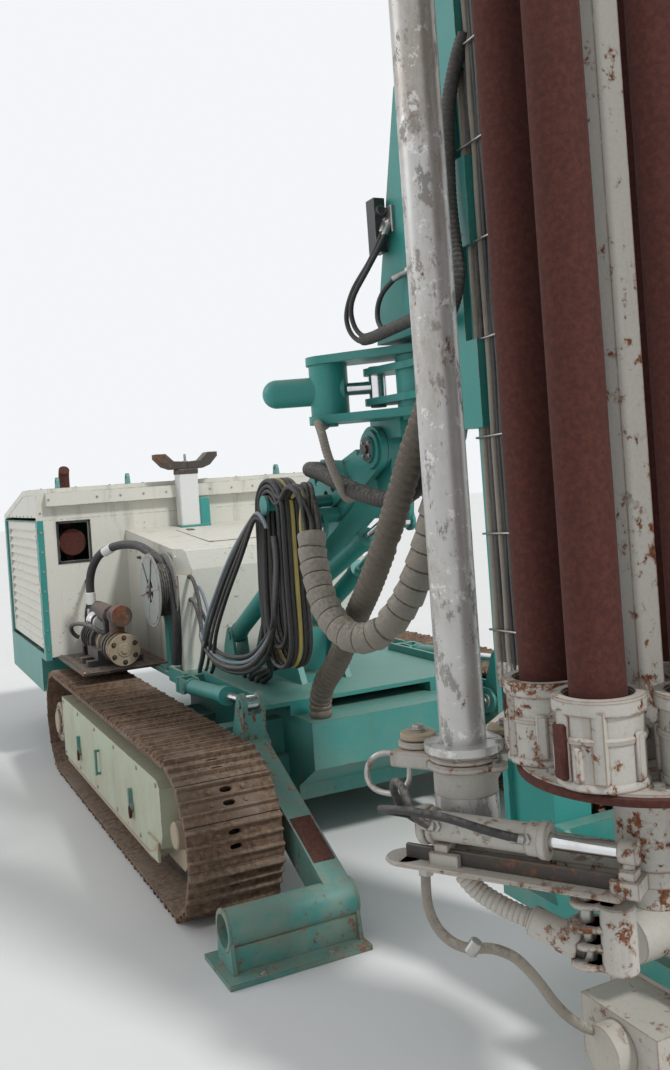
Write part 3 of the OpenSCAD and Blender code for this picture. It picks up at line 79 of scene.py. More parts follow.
# ---------------------------------------------------------------- materials
class Nodes:
    """Short calls that add shader nodes to one material."""

    def __init__(self, name):
        self.mat = bpy.data.materials.new(name)
        self.mat.use_nodes = True
        self.tree = self.mat.node_tree
        self.bsdf = next(n for n in self.tree.nodes if n.type == "BSDF_PRINCIPLED")
        self.coord = self.new("TexCoord").outputs["Object"]

    def link(self, value, socket):
        if isinstance(value, bpy.types.NodeSocket):
            self.tree.links.new(value, socket)
        else:
            socket.default_value = value

    def new(self, kind, **inputs):
        n = self.tree.nodes.new("ShaderNode" + kind)
        for key, value in inputs.items():
            self.link(value, n.inputs[key.replace("_", " ")])
        return n

    def stretch(self, scale):
        return self.new("Mapping", Vector=self.coord, Scale=scale).outputs["Vector"]

    def noise(self, scale, detail=4, rough=0.6, at=None):
        where = self.coord if at is None else at
        return self.new("TexNoise", Vector=where, Scale=scale, Detail=detail, Roughness=rough).outputs["Fac"]

    def span(self, value, low, high, out_low=0.0, out_high=1.0):
        n = self.new("MapRange", Value=value, From_Min=low, From_Max=high, To_Min=out_low, To_Max=out_high)
        n.interpolation_type = "SMOOTHSTEP"
        return n.outputs["Result"]

    def math(self, how, a, b, clamp=False):
        n = self.new("Math")
        n.operation, n.use_clamp = how, clamp
        self.link(a, n.inputs[0])
        self.link(b, n.inputs[1])
        return n.outputs["Value"]

    def add(self, a, b, clamp=False):
        return self.math("ADD", a, b, clamp)

    def mul(self, a, b, clamp=False):
        return self.math("MULTIPLY", a, b, clamp)

    def mix(self, share, a, b):
        n = self.new("Mix")
        n.data_type = "RGBA"
        self.link(share, n.inputs[0])
        for socket, value in ((n.inputs[6], a), (n.inputs[7], b)):
            self.link((*value, 1) if isinstance(value, tuple) and len(value) == 3 else value, socket)
        return n.outputs[2]

    def height(self):
        return self.new("SeparateXYZ", Vector=self.coord).outputs["Z"]

    def facing_up(self):
        return self.new("SeparateXYZ", Vector=self.new("NewGeometry").outputs["Normal"]).outputs["Z"]

    def edges(self, radius):
        """About 1 on a convex or concave edge, 0 on flat ground."""
        b = self.new("Bevel", Radius=radius)
        b.samples = 3
        d = self.new("VectorMath")
        d.operation = "DOT_PRODUCT"
        self.link(b.outputs["Normal"], d.inputs[0])
        self.link(self.new("NewGeometry").outputs["Normal"], d.inputs[1])
        return self.span(d.outputs["Value"], 0.985, 0.80, 0.0, 1.0)

    def bump(self, height, strength, distance):
        return self.new("Bump", Strength=strength, Distance=distance, Height=height).outputs["Normal"]

    def out(self, color, rough, metal=0.0, normal=None):
        self.link((*color, 1) if isinstance(color, tuple) else color, self.bsdf.inputs["Base Color"])
        self.link(rough, self.bsdf.inputs["Roughness"])
        self.link(metal, self.bsdf.inputs["Metallic"])
        if normal is not None:
            self.link(normal, self.bsdf.inputs["Normal"])
        return self.mat


RUST = ((0.085, 0.028, 0.012), (0.24, 0.085, 0.030))
MUD = (0.34, 0.27, 0.20)


def painted(name, base, chip=0.3, primer=(0.30, 0.29, 0.27), rust_share=0.6, dust=0.35, streak=0.25,
            rough=0.42, size=1.0, dust_color=MUD, faded=0.25, mud_top=0.9):
    """Paint with chips down to primer and rust, worn edges, streaks, faded patches and dust."""
    n = Nodes(name)
    broad = n.noise(2.3 * size, 5, 0.62)
    fine = n.noise(26 * size, 7, 0.72)
    tiny = n.noise(120 * size, 3, 0.6)
    edge = n.edges(0.008)
    wear = n.add(n.mul(fine, 0.62), n.mul(broad, 0.38))
    wear = n.add(wear, n.mul(edge, 0.16))
    level = 0.70 - 0.16 * chip
    bare = n.span(wear, level, level + 0.018)
    halo = n.span(wear, level - 0.03, level)
    runs = n.noise(9 * size, 5, 0.6, n.stretch((1.0, 1.0, 0.10)))
    color = n.mix(n.span(broad, 0.35, 0.7, 0.0, faded), base, tuple(min(1.0, c * 0.75 + 0.13) for c in base))
    color = n.mix(n.span(tiny, 0.3, 0.75, 0.0, 0.22), color, tuple(c * 0.62 for c in base))
    color = n.mix(n.span(runs, 0.56, 0.72, 0.0, streak), color, (0.11, 0.075, 0.05))
    color = n.mix(n.mul(halo, 0.35), color, (0.20, 0.10, 0.05))
    rusty = n.mix(n.span(tiny, 0.35, 0.65), RUST[0], RUST[1])
    rust_where = n.span(n.noise(7 * size, 4), 0.62 - 0.3 * rust_share, 0.72 - 0.3 * rust_share)
    under = n.mix(rust_where, primer, rusty)
    color = n.mix(bare, color, under)
    settled = n.mul(n.span(n.facing_up(), 0.25, 0.95), n.span(fine, 0.32, 0.62, 0.35, 1.0))
    low = n.mul(n.span(n.height(), mud_top, 0.05), n.span(n.noise(5, 5), 0.34, 0.62))
    dusty = n.mul(n.math("MAXIMUM", settled, low), dust, clamp=True)
    color = n.mix(dusty, color, dust_color)
    r = n.add(n.mul(bare, 0.35), rough)
    r = n.add(r, n.mul(dusty, 0.5), clamp=True)
    lift = n.math("SUBTRACT", n.mul(tiny, 0.12), n.mul(bare, 0.5))
    return n.out(color, r, 0.0, n.bump(lift, 0.55, 0.002))


def steel(name, base, rust=0.5, rough=0.45, metal=0.7, dust=0.3, size=1.0, dust_color=MUD, brown=RUST):
    """Bare or rusting steel with brown patches, pitting and settled dust."""
    n = Nodes(name)
    broad = n.noise(3.1 * size, 6, 0.66)
    fine = n.noise(42 * size, 6, 0.7)
    pits = n.new("TexVoronoi", Vector=n.coord, Scale=90 * size).outputs["Distance"]
    level = 0.78 - 0.5 * rust
    field = n.add(n.mul(broad, 0.6), n.mul(fine, 0.4))
    rusty = n.span(field, level - 0.06, level + 0.05)
    brown_mix = n.mix(n.span(fine, 0.35, 0.7), brown[0], brown[1])
    color = n.mix(n.span(fine, 0.3, 0.7, 0.0, 0.5), base, tuple(c * 0.6 for c in base))
    color = n.mix(n.mul(n.edges(0.006), 0.35), color, tuple(min(1, c * 1.5 + 0.05) for c in base))
    color = n.mix(rusty, color, brown_mix)
    settled = n.mul(n.span(n.facing_up(), 0.2, 0.95), n.span(fine, 0.3, 0.6, 0.3, 1.0))
    dusty = n.mul(settled, dust, clamp=True)
    color = n.mix(dusty, color, dust_color)
    r = n.add(n.mul(rusty, 0.4), rough)
    r = n.add(r, n.mul(dusty, 0.4), clamp=True)
    m = n.math("SUBTRACT", metal, n.math("MAXIMUM", rusty, dusty), clamp=True)
    lift = n.add(n.mul(fine, 0.5), n.mul(n.span(pits, 0.0, 0.25), 0.3))
    return n.out(color, r, m, n.bump(lift, 0.5, 0.0016))


def rubber(name, base, rough=0.5, dust=0.3, dust_color=(0.30, 0.27, 0.23)):
    """Hose rubber with scuffs and dust on its upper side."""
    n = Nodes(name)
    fine = n.noise(60, 5, 0.65)
    broad = n.noise(4, 4, 0.6)
    color = n.mix(n.span(broad, 0.35, 0.7, 0.0, 0.5), base, tuple(c * 1.6 + 0.012 for c in base))
    dusty = n.mul(n.span(n.facing_up(), -0.1, 0.9, 0.15, 1.0), n.span(fine, 0.35, 0.65))
    dusty = n.mul(dusty, dust, clamp=True)
    color = n.mix(dusty, color, dust_color)
    r = n.add(n.mul(dusty, 0.4), n.span(broad, 0.3, 0.7, rough - 0.08, rough + 0.12), clamp=True)
    return n.out(color, r, 0.0, n.bump(fine, 0.4, 0.0008))


M = {
    "teal": painted("teal_paint", (0.030, 0.262, 0.232), chip=0.42, primer=(0.25, 0.27, 0.25), rust_share=0.7),
    "teal_clean": painted("teal_paint_clean", (0.032, 0.275, 0.245), chip=0.22, rust_share=0.5, dust=0.25,
                          mud_top=0.4),
    "teal_worn": painted("teal_paint_worn", (0.035, 0.250, 0.220), chip=0.85, rust_share=0.95, dust=0.45),
    "cream": painted("cream_paint", (0.66, 0.645, 0.57), chip=0.42, primer=(0.24, 0.235, 0.22), rust_share=0.35,
                     dust=0.30, streak=0.30, dust_color=(0.45, 0.40, 0.32)),
    "cover": painted("cover_paint", (0.42, 0.475, 0.345), chip=0.30, primer=(0.22, 0.21, 0.18), rust_share=0.7,
                     dust=0.55, streak=0.35, dust_color=(0.42, 0.34, 0.24)),
    "tan": painted("dusty_tan", (0.36, 0.29, 0.20), chip=0.25, rust_share=0.8, dust=0.6, dust_color=(0.40, 0.32, 0.23)),
    "track": steel("track_steel", (0.20, 0.155, 0.12), rust=0.72, rough=0.55, metal=0.45, dust=0.45,
                   brown=((0.095, 0.055, 0.035), (0.235, 0.150, 0.100))),
    "reel_grey": painted("reel_grey", (0.33, 0.35, 0.33), chip=0.6, primer=(0.20, 0.19, 0.17), rust_share=0.7, dust=0.6,
                         dust_color=(0.40, 0.35, 0.27), rough=0.6),
    "dark": steel("dark_steel", (0.075, 0.068, 0.062), rust=0.45, rough=0.5, metal=0.5, dust=0.35),
    "bare": steel("bare_steel", (0.42, 0.41, 0.39), rust=0.34, rough=0.35, metal=0.9, dust=0.25),
    "rusty": steel("rusty_steel", (0.075, 0.024, 0.017), rust=0.97, rough=0.6, metal=0.1, dust=0.05, size=1.6,
                   brown=((0.056, 0.016, 0.012), (0.094, 0.027, 0.018))),
    "grey": painted("chipped_grey", (0.45, 0.43, 0.385), chip=0.95, primer=(0.33, 0.31, 0.28), rust_share=1.0,
                    dust=0.35, streak=0.4, rough=0.6, size=0.9, dust_color=(0.42, 0.37, 0.30)),
    "black": painted("black_paint", (0.018, 0.019, 0.020), chip=0.25, rust_share=0.5, dust=0.35, rough=0.38),
    "white": painted("white_paint", (0.72, 0.72, 0.70), chip=0.2, rust_share=0.4, dust=0.25, rough=0.4),
    "hose": rubber("hose_rubber", (0.017, 0.017, 0.018)),
    "hose_dust": rubber("hose_rubber_dusty", (0.035, 0.033, 0.030), dust=0.75),
    "grey_hose": rubber("hose_rubber_grey", (0.16, 0.20, 0.235), rough=0.45, dust=0.25),
    "yellow": rubber("hose_yellow", (0.36, 0.29, 0.08), rough=0.5, dust=0.5),
    "sleeve": rubber("sleeve_wrap", (0.215, 0.195, 0.165), rough=0.75, dust=0.95, dust_color=(0.46, 0.40, 0.32)),
    "sleeve_mud": rubber("sleeve_wrap_muddy", (0.10, 0.085, 0.068), rough=0.75, dust=0.9,
                         dust_color=(0.33, 0.27, 0.20)),
    "sleeve_dark": rubber("sleeve_wrap_dark", (0.040, 0.038, 0.036), rough=0.65, dust=0.6),
}


def chrome():
    n = Nodes("chrome_rod")
    fine = n.noise(30, 4, 0.6, n.stretch((1, 1, 6)))
    smear = n.span(n.noise(6, 4), 0.5, 0.75, 0.0, 0.30)
    color = n.mix(smear, (0.78, 0.78, 0.79), (0.30, 0.26, 0.22))
    return n.out(color, n.span(fine, 0.3, 0.7, 0.10, 0.26), 1.0, n.bump(fine, 0.08, 0.0004))


def silver_tube():
    """Silver painted tube, flaked to grey and brown, with stains."""
    n = Nodes("silver_tube")
    broad = n.noise(3.0, 6, 0.68)
    flake = n.noise(19, 8, 0.78, n.stretch((1.0, 1.0, 0.55)))
    tiny = n.noise(150, 3, 0.6)
    color = n.mix(n.span(broad, 0.35, 0.65, 0.0, 0.6), (0.50, 0.49, 0.47), (0.60, 0.595, 0.575))
    dark = n.span(n.add(n.mul(flake, 0.7), n.mul(broad, 0.3)), 0.53, 0.57)
    color = n.mix(n.mul(dark, 0.75), color, (0.215, 0.200, 0.180))
    brown = n.span(n.noise(11, 7, 0.75, n.stretch((1, 1, 0.5))), 0.58, 0.64)
    color = n.mix(brown, color, (0.16, 0.075, 0.035))
    stain = n.span(n.noise(4.5, 7, 0.72, n.stretch((1, 1, 0.35))), 0.44, 0.66, 0.0, 0.75)
    color = n.mix(n.mul(stain, n.span(tiny, 0.25, 0.6, 0.6, 1.0)), color, (0.33, 0.275, 0.215))
    pale = n.span(n.noise(16, 7, 0.75), 0.58, 0.62, 0.0, 0.85)
    color = n.mix(pale, color, (0.74, 0.73, 0.71))
    rough = n.add(n.mul(dark, 0.3), 0.34)
    lift = n.math("SUBTRACT", n.mul(tiny, 0.15), n.mul(dark, 0.5))
    return n.out(color, rough, n.mul(n.math("SUBTRACT", 1.0, dark), 0.45), n.bump(lift, 0.5, 0.0012))


M["chrome"] = chrome()
M["silver"] = silver_tube()


# ---------------------------------------------------------------- geometry, in millimetres of the row frame
def frame_at(origin, x=None, z=None):
    """The frame at origin whose x or z axis points the given way."""
    axis = Vector(z if x is None else x).normalized()
    other = Vector((0, 0, 1)) if abs(axis.z) < 0.9 else Vector((1, 0, 0))
    side = other.cross(axis).normalized()
    up = axis.cross(side)
    rows = (side, up, axis) if x is None else (axis, side, up)
    return Matrix.Translation(Vector(origin)) @ Matrix(rows).transposed().to_4x4()


def round_points(n, phase=0.0):
    """Cosine and sine of n even steps round a circle."""
    return [(math.cos(a), math.sin(a)) for a in (2 * math.pi * k / n + phase for k in range(n))]


def ring_faces(rings, n):
    """Quads between rings of n points each, and the two end caps."""
    quads = [(i * n + k, i * n + (k + 1) % n, (i + 1) * n + (k + 1) % n, (i + 1) * n + k)
             for i in range(rings - 1) for k in range(n)]
    return quads + [tuple(range(n))[::-1], tuple((rings - 1) * n + k for k in range(n))]


class Piece:
    """Collects boxes, turned parts, tubes and prisms into one mesh that rides on a body."""

    def __init__(self, name, body, mat):
        """The first material gives the slot; use is the material of what follows."""
        self.name, self.body, self.use, self.mats = name, body, mat, [mat]
        self.verts, self.faces, self.marks = [], [], []
        self.turn = Matrix.Identity(4)

    def add(self, verts, faces):
        if self.use not in self.mats:
            self.mats.append(self.use)
        start = len(self.verts)
        self.verts += [self.turn @ Vector(v) for v in verts]
        self.faces += [tuple(i + start for i in f) for f in faces]
        self.marks += [self.mats.index(self.use)] * len(faces)

    def at(self, origin=(0, 0, 0), x=None, z=None):
        """Sets the frame for what follows: its origin, and where its x or z axis points."""
        plain = x is None and z is None
        self.turn = Matrix.Translation(Vector(origin)) if plain else frame_at(origin, x, z)

    def box(self, low, high, bevel=4):
        """A box whose edges and corners are chamfered."""
        half = [abs(h - l) / 2 for l, h in zip(low, high)]
        b = min(bevel, min(half) * 0.9)
        mid = [(l + h) / 2 for l, h in zip(low, high)]
        verts, ids, faces = [], {}, []
        for corner in itertools.product((-1, 1), repeat=3):
            for k in range(3):
                p = [s * (h - b) for s, h in zip(corner, half)]
                p[k] = corner[k] * half[k]
                ids[(*corner, k)] = len(verts)
                verts.append([m + q for m, q in zip(mid, p)])
        for k in range(3):
            u, v = (k + 1) % 3, (k + 2) % 3

            def corner_at(sk, su, sv, side):
                sign = [0, 0, 0]
                sign[k], sign[u], sign[v] = sk, su, sv
                return ids[(*sign, side)]

            for s in (-1, 1):
                quad = [corner_at(s, su, sv, k) for su, sv in ((-1, -1), (1, -1), (1, 1), (-1, 1))]
                faces.append(quad if s > 0 else quad[::-1])
            for su, sv in itertools.product((-1, 1), repeat=2):
                strip = [corner_at(sk, su, sv, side) for sk, side in ((-1, u), (1, u), (1, v), (-1, v))]
                faces.append(strip if su * sv < 0 else strip[::-1])
        for corner in itertools.product((-1, 1), repeat=3):
            tri = [ids[(*corner, k)] for k in range(3)]
            faces.append(tri if math.prod(corner) > 0 else tri[::-1])
        self.add(verts, faces)

    def turned(self, profile, n=28, closed=False):
        """Turns (place along z, radius) pairs round the z axis."""
        verts, faces, rings = [], [], []
        for z, r in profile:
            points = [(0, 0, z)] if r < 1e-6 else [(r * c, r * s, z) for c, s in round_points(n)]
            rings.append(list(range(len(verts), len(verts) + len(points))))
            verts += points
        for a, b in list(zip(rings, rings[1:])) + ([(rings[-1], rings[0])] if closed else []):
            for k in range(n if len(a) + len(b) > 2 else 0):
                j = (k + 1) % n
                if len(a) == 1:
                    faces.append((a[0], b[j], b[k]))
                elif len(b) == 1:
                    faces.append((a[k], a[j], b[0]))
                else:
                    faces.append((a[k], a[j], b[j], b[k]))
        self.add(verts, faces)

    def turned_at(self, a, axis, profile, n, closed=False):
        """A turned shape that stands on a, along axis, in the present frame."""
        keep = self.turn
        self.turn = keep @ frame_at(a, z=axis)
        self.turned(profile, n, closed)
        self.turn = keep

    def rod(self, a, b, r, n=20, bevel=3, hole=0):
        """A cylinder from a to b with chamfered ends, bored through if hole is set."""
        axis = Vector(b) - Vector(a)
        t = axis.length
        c = min(bevel, r * 0.4, t * 0.4)
        self.turned_at(a, axis, [(0, hole), (0, r - c), (c, r), (t - c, r), (t, r - c), (t, hole)], n, hole > 0)

    def disc(self, at, t, r, c, n=28, hole=0, rim=None):
        """An upright disc on the point at: thickness t, chamfer c high and rim (or c) wide."""
        low = r - (c if rim is None else rim)
        self.at(at)
        self.turned([(0, hole), (0, low), (c, r), (t - c, r), (t, low), (t, hole)], n, hole > 0)
        self.at()

    def profile_rod(self, a, b, profile, n=24):
        """A turned shape from a to b: profile is (share of the length, radius) pairs, closed at both ends."""
        axis = Vector(b) - Vector(a)
        rows = [(t * axis.length, r) for t, r in profile]
        self.turned_at(a, axis, [(rows[0][0], 0)] + rows + [(rows[-1][0], 0)], n)

    def bolt(self, at, axis, r=12, h=9, washer=True):
        """A hexagon head on a washer, standing on the point at, along axis."""
        if washer:
            self.turned_at(at, axis, [(0, 0), (0, r * 1.35), (h * 0.2, r * 1.35), (h * 0.2, 0)], 14)
        self.turned_at(at, axis, [(h * 0.2, 0), (h * 0.2, r), (h * 0.9, r), (h, r * 0.82), (h, 0)], 6)

    def bolt_ring(self, centre, axis, radius, count, phase, r, h):
        """Bolts on a circle; axis is along x, y or z."""
        u, v = (i for i in range(3) if not axis[i])
        for k in range(count):
            a = math.radians(360 / count * k + phase)
            at = list(centre)
            at[u] += radius * math.cos(a)
            at[v] += radius * math.sin(a)
            self.bolt(at, axis, r, h)

    def prism(self, outline, plane, low, high, bevel=4):
        """Extrudes an outline: plane xz goes along y, yz along x. Its rims are chamfered."""
        n = len(outline)
        pts = [Vector(p) for p in outline]
        if sum(a.x * b.y - b.x * a.y for a, b in zip(pts, pts[1:] + pts[:1])) <= 0:
            pts.reverse()
        b = min(bevel, (high - low) * 0.4)
        inner = []
        for i in range(n):
            e1 = (pts[i] - pts[i - 1]).normalized()
            e2 = (pts[(i + 1) % n] - pts[i]).normalized()
            n1, n2 = Vector((-e1.y, e1.x)), Vector((-e2.y, e2.x))
            d = n1 + n2
            inner.append(pts[i] + d * (b / max(0.35, d.dot(n1))))
        rings = [(inner, low), (pts, low + b), (pts, high - b), (inner, high)]
        verts = [(p.x, t, p.y) if plane == "xz" else (t, p.x, p.y) for ring, t in rings for p in ring]
        faces = ring_faces(4, n)
        self.add(verts, [f[::-1] for f in faces] if plane == "xz" else faces)

    def tube(self, path, r, n=10):
        """A tube along smooth points."""
        side = (path[1] - path[0]).orthogonal().normalized()
        verts = []
        for i, p in enumerate(path):
            t = (path[min(i + 1, len(path) - 1)] - path[max(i - 1, 0)]).normalized()
            side = (side - t * side.dot(t)).normalized()
            up = t.cross(side)
            verts += [p + r * (c * side + s * up) for c, s in round_points(n)]
        self.add(verts, ring_faces(len(path), n))

    def make(self, smooth=32):
        mesh = bpy.data.meshes.new(self.name)
        mesh.from_pydata([v * MM for v in self.verts], [], self.faces)
        for m in self.mats:
            mesh.materials.append(M[m])
        mesh.polygons.foreach_set("material_index", self.marks)
        mesh.polygons.foreach_set("use_smooth", [True] * len(self.faces))
        mesh.set_sharp_from_angle(angle=math.radians(smooth))
        mesh.update()
        obj = bpy.data.objects.new(self.name, mesh)
        bpy.context.scene.collection.objects.link(obj)
        if self.body:
            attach(obj, self.body)
        return obj


SPLINE = [k / 24 for k in range(24)]


def smooth_path(points, step=20.0):
    """Points at even steps along a Catmull-Rom curve through the given points."""
    p = [Vector(q) for q in points]
    p = [2 * p[0] - p[1]] + p + [2 * p[-1] - p[-2]]
    dense = []
    for i in range(1, len(p) - 2):
        a, b, c, d = p[i - 1], p[i], p[i + 1], p[i + 2]
        for t in SPLINE:
            dense.append(0.5 * (2 * b + (c - a) * t + (2 * a - 5 * b + 4 * c - d) * t * t
                                + (3 * b - a - 3 * c + d) * t ** 3))
    dense.append(p[-2])
    run = [0.0]
    for a, b in zip(dense, dense[1:]):
        run.append(run[-1] + (b - a).length)
    count = max(2, round(run[-1] / step) + 1)
    out, k = [], 0
    for i in range(count):
        want = run[-1] * i / (count - 1)
        while k < len(run) - 2 and run[k + 1] < want:
            k += 1
        f = (want - run[k]) / max(1e-9, run[k + 1] - run[k])
        out.append(dense[k].lerp(dense[k + 1], min(1.0, max(0.0, f))))
    return out


def ease(path, radius, passes=260):
    """Open the bends that are tighter than radius; both ends stay where they are."""
    pts = list(path)
    for _ in range(passes):
        moved = list(pts)
        for i in range(2, len(pts) - 2):
            a, b, c = pts[i - 1], pts[i], pts[i + 1]
            if (b - a).angle(c - b, 0.0) * radius > (c - a).length * 0.5:
                moved[i] = b.lerp((a + c) / 2, 0.6)
        if moved == pts:
            break
        pts = moved
    return pts


def path_length(path):
    return sum((b - a).length for a, b in zip(path, path[1:]))


# ---------------------------------------------------------------- CAD nodes and their materials
DRESS = {
    "teal": "carbody deck engine_housing lifting_eyes boom_foot lift_barrels tilt_barrel swivel_head mast_holder "
            "rotary_head reel_bracket cover_fittings hose_hanger mast_foot",
    "teal_clean": "boom slew_barrel mast_beam rigger_barrel_right rigger_barrel_left",
    "teal_worn": "outrigger_right outrigger_left",
    "cream": "housing_front housing_roof side_door_right side_door_left hood",
    "cover": "track_covers", "tan": "track_frames", "track": "track_right track_left",
    "dark": "sprockets idlers rollers mud_pump pump_skid engine_block feed_chain",
    "rusty": "casings exhaust", "chrome": "lift_rods tilt_rod slew_rod rigger_rod_right rigger_rod_left",
    "bare": "spindle hose_reel", "silver": "swing_tube",
    "grey": "carousel magazine_arms mast_brackets clamp_block index_cylinder",
    "black": "pump_motor mast_lamp mast_rest", "hose": "mast_hoses hose_hank", "sleeve": "sleeve_hoses",
}


def dress_nodes():
    for mat, names in DRESS.items():
        for name in names.split():
            mesh = NODES[name].data
            mesh.materials.clear()
            mesh.materials.append(M[mat])


dress_nodes()


# ---------------------------------------------------------------- studio
def studio():
    scene = bpy.context.scene
    scene.view_settings.view_transform = "Standard"
    scene.world = bpy.data.worlds.new("world")
    scene.world.use_nodes = True
    tree = scene.world.node_tree
    tree.nodes.clear()
    out = tree.nodes.new("ShaderNodeOutputWorld")
    light, shown = (tree.nodes.new("ShaderNodeBackground") for _ in range(2))
    for node, color, strength in ((light, (0.93, 0.96, 1.0, 1), 0.62), (shown, (0.90, 0.92, 0.94, 1), 1.0)):
        node.inputs["Color"].default_value = color
        node.inputs["Strength"].default_value = strength
    path = tree.nodes.new("ShaderNodeLightPath")
    mix = tree.nodes.new("ShaderNodeMixShader")
    seen = path.outputs["Is Camera Ray"]
    for ray in ("Is Glossy Ray", "Is Transmission Ray"):
        both = tree.nodes.new("ShaderNodeMath")
        both.operation = "MAXIMUM"
        tree.links.new(seen, both.inputs[0])
        tree.links.new(path.outputs[ray], both.inputs[1])
        seen = both.outputs[0]
    tree.links.new(seen, mix.inputs[0])
    tree.links.new(light.outputs[0], mix.inputs[1])
    tree.links.new(shown.outputs[0], mix.inputs[2])
    tree.links.new(mix.outputs[0], out.inputs[0])
    for name, turn, power, size in (("sun", (0.72, 0.0, 1.95), 1.9, 0.12), ("fill", (1.05, 0.0, -0.6), 0.55, 0.6)):
        lamp = bpy.data.lights.new(name, "SUN")
        lamp.energy, lamp.angle = power, size
        obj = bpy.data.objects.new(name, lamp)
        obj.rotation_euler = turn
        scene.collection.objects.link(obj)
    floor_mat = Nodes("floor")
    grain = floor_mat.noise(1.6, 5)
    floor_mat.out(floor_mat.mix(grain, (0.66, 0.655, 0.64), (0.72, 0.715, 0.70)), 0.9)
    mesh = bpy.data.meshes.new("floor")
    mesh.from_pydata([(-60, -60, 0), (60, -60, 0), (60, 60, 0), (-60, 60, 0)], [], [(0, 1, 2, 3)])
    mesh.materials.append(floor_mat.mat)
    floor = bpy.data.objects.new("floor", mesh)
    scene.collection.objects.link(floor)


studio()


# ---------------------------------------------------------------- tracks
SPROCKET_X, IDLER_X, TRACK_Z, LOOP_R = -1590, 945, 330, 306
SHOES = 41
LOOP = 2 * (IDLER_X - SPROCKET_X) + 2 * math.pi * LOOP_R
PITCH = LOOP / SHOES


def loop_frame(s):
    """Point on the shoes' outer face, direction of travel and outward normal in the X-Z plane."""
    run = IDLER_X - SPROCKET_X
    half, s = divmod(s % LOOP, LOOP / 2)
    side = 1 - 2 * half
    a = math.pi / 2 - max(0.0, s - run) / LOOP_R
    nx, nz = side * math.cos(a), side * math.sin(a)
    mid = (SPROCKET_X + IDLER_X + side * (2 * min(s, run) - run)) / 2
    return (mid + LOOP_R * nx, TRACK_Z + LOOP_R * nz), (nz, -nx), (nx, nz)


SHOE_OUTLINE = [(-0.49, -3), (-0.46, 0), (-0.44, 18), (-0.42, 23.5), (-0.38, 23.5), (-0.36, 17), (-0.34, 1), (-0.12, 0),
                (-0.10, 12), (-0.08, 19), (-0.05, 19), (-0.03, 12), (-0.01, 1), (0.21, 0), (0.23, 12), (0.25, 19),
                (0.28, 19), (0.30, 12), (0.32, 1), (0.42, 0), (0.49, -4)]
WEBS = (6, 12)


def shoe_mesh():
    """One shoe in (along, across, out) with two oval mud holes and a flat underside."""
    verts, faces = [], []
    lines = [-200, -192, -34, 34, 192, 200]
    tops, lows = [], []
    for y in lines:
        edge = abs(y) == 200
        tops.append([])
        for t, h in SHOE_OUTLINE:
            tops[-1].append(len(verts))
            verts.append((t * PITCH, y, h - (4 if edge and h > 4 else 2 if edge else 0)))
        lows.append([])
        for t, h in (SHOE_OUTLINE[0], SHOE_OUTLINE[6], SHOE_OUTLINE[12], SHOE_OUTLINE[-1]):
            lows[-1].append(len(verts))
            verts.append((t * PITCH, y, -17))
    last = len(SHOE_OUTLINE) - 1
    for j in range(len(lines) - 1):
        for i in range(last):
            quad = (tops[j][i], tops[j][i + 1], tops[j + 1][i + 1], tops[j + 1][i])
            if j == 2 and i in WEBS:
                t0, t1 = SHOE_OUTLINE[i][0] * PITCH, SHOE_OUTLINE[i + 1][0] * PITCH
                cx, half = (t0 + t1) / 2, (t1 - t0) / 2
                ring, low = [], []
                for x, y in round_points(16, math.pi / 16):
                    x, y = cx + half * 0.62 * math.copysign(abs(x) ** 0.8, x), 26 * math.copysign(abs(y) ** 0.8, y)
                    ring.append(len(verts))
                    verts.append((x, y, 0))
                    low.append(len(verts))
                    verts.append((x, y, -17))
                corner = [quad[2], quad[3], quad[0], quad[1]]
                for k in range(16):
                    a, b = ring[k], ring[(k + 1) % 16]
                    faces.append((a, low[k], low[(k + 1) % 16], b))
                    faces.append((a, b, corner[k // 4]) if k % 4 != 3
                                 else (a, b, corner[(k // 4 + 1) % 4], corner[k // 4]))
            else:
                faces.append(quad)
        for i in range(3):
            if j == 2 and i in (1, 2):
                continue
            faces.append((lows[j][i], lows[j + 1][i], lows[j + 1][i + 1], lows[j][i + 1]))
        faces.append((tops[j][0], tops[j + 1][0], lows[j + 1][0], lows[j][0]))
        faces.append((tops[j][last], lows[j][-1], lows[j + 1][-1], tops[j + 1][last]))
    for j, flip in ((0, False), (len(lines) - 1, True)):
        rim = tops[j] + lows[j][::-1]
        faces.append(tuple(rim[::-1] if flip else rim))
    return verts, faces


LINK_OUTLINE = [(-92, -70), (-92, -44), (-78, -30), (-40, -22), (40, -22), (78, -30), (92, -44), (92, -70), (76, -84),
                (40, -80), (0, -76), (-40, -80), (-76, -84)]


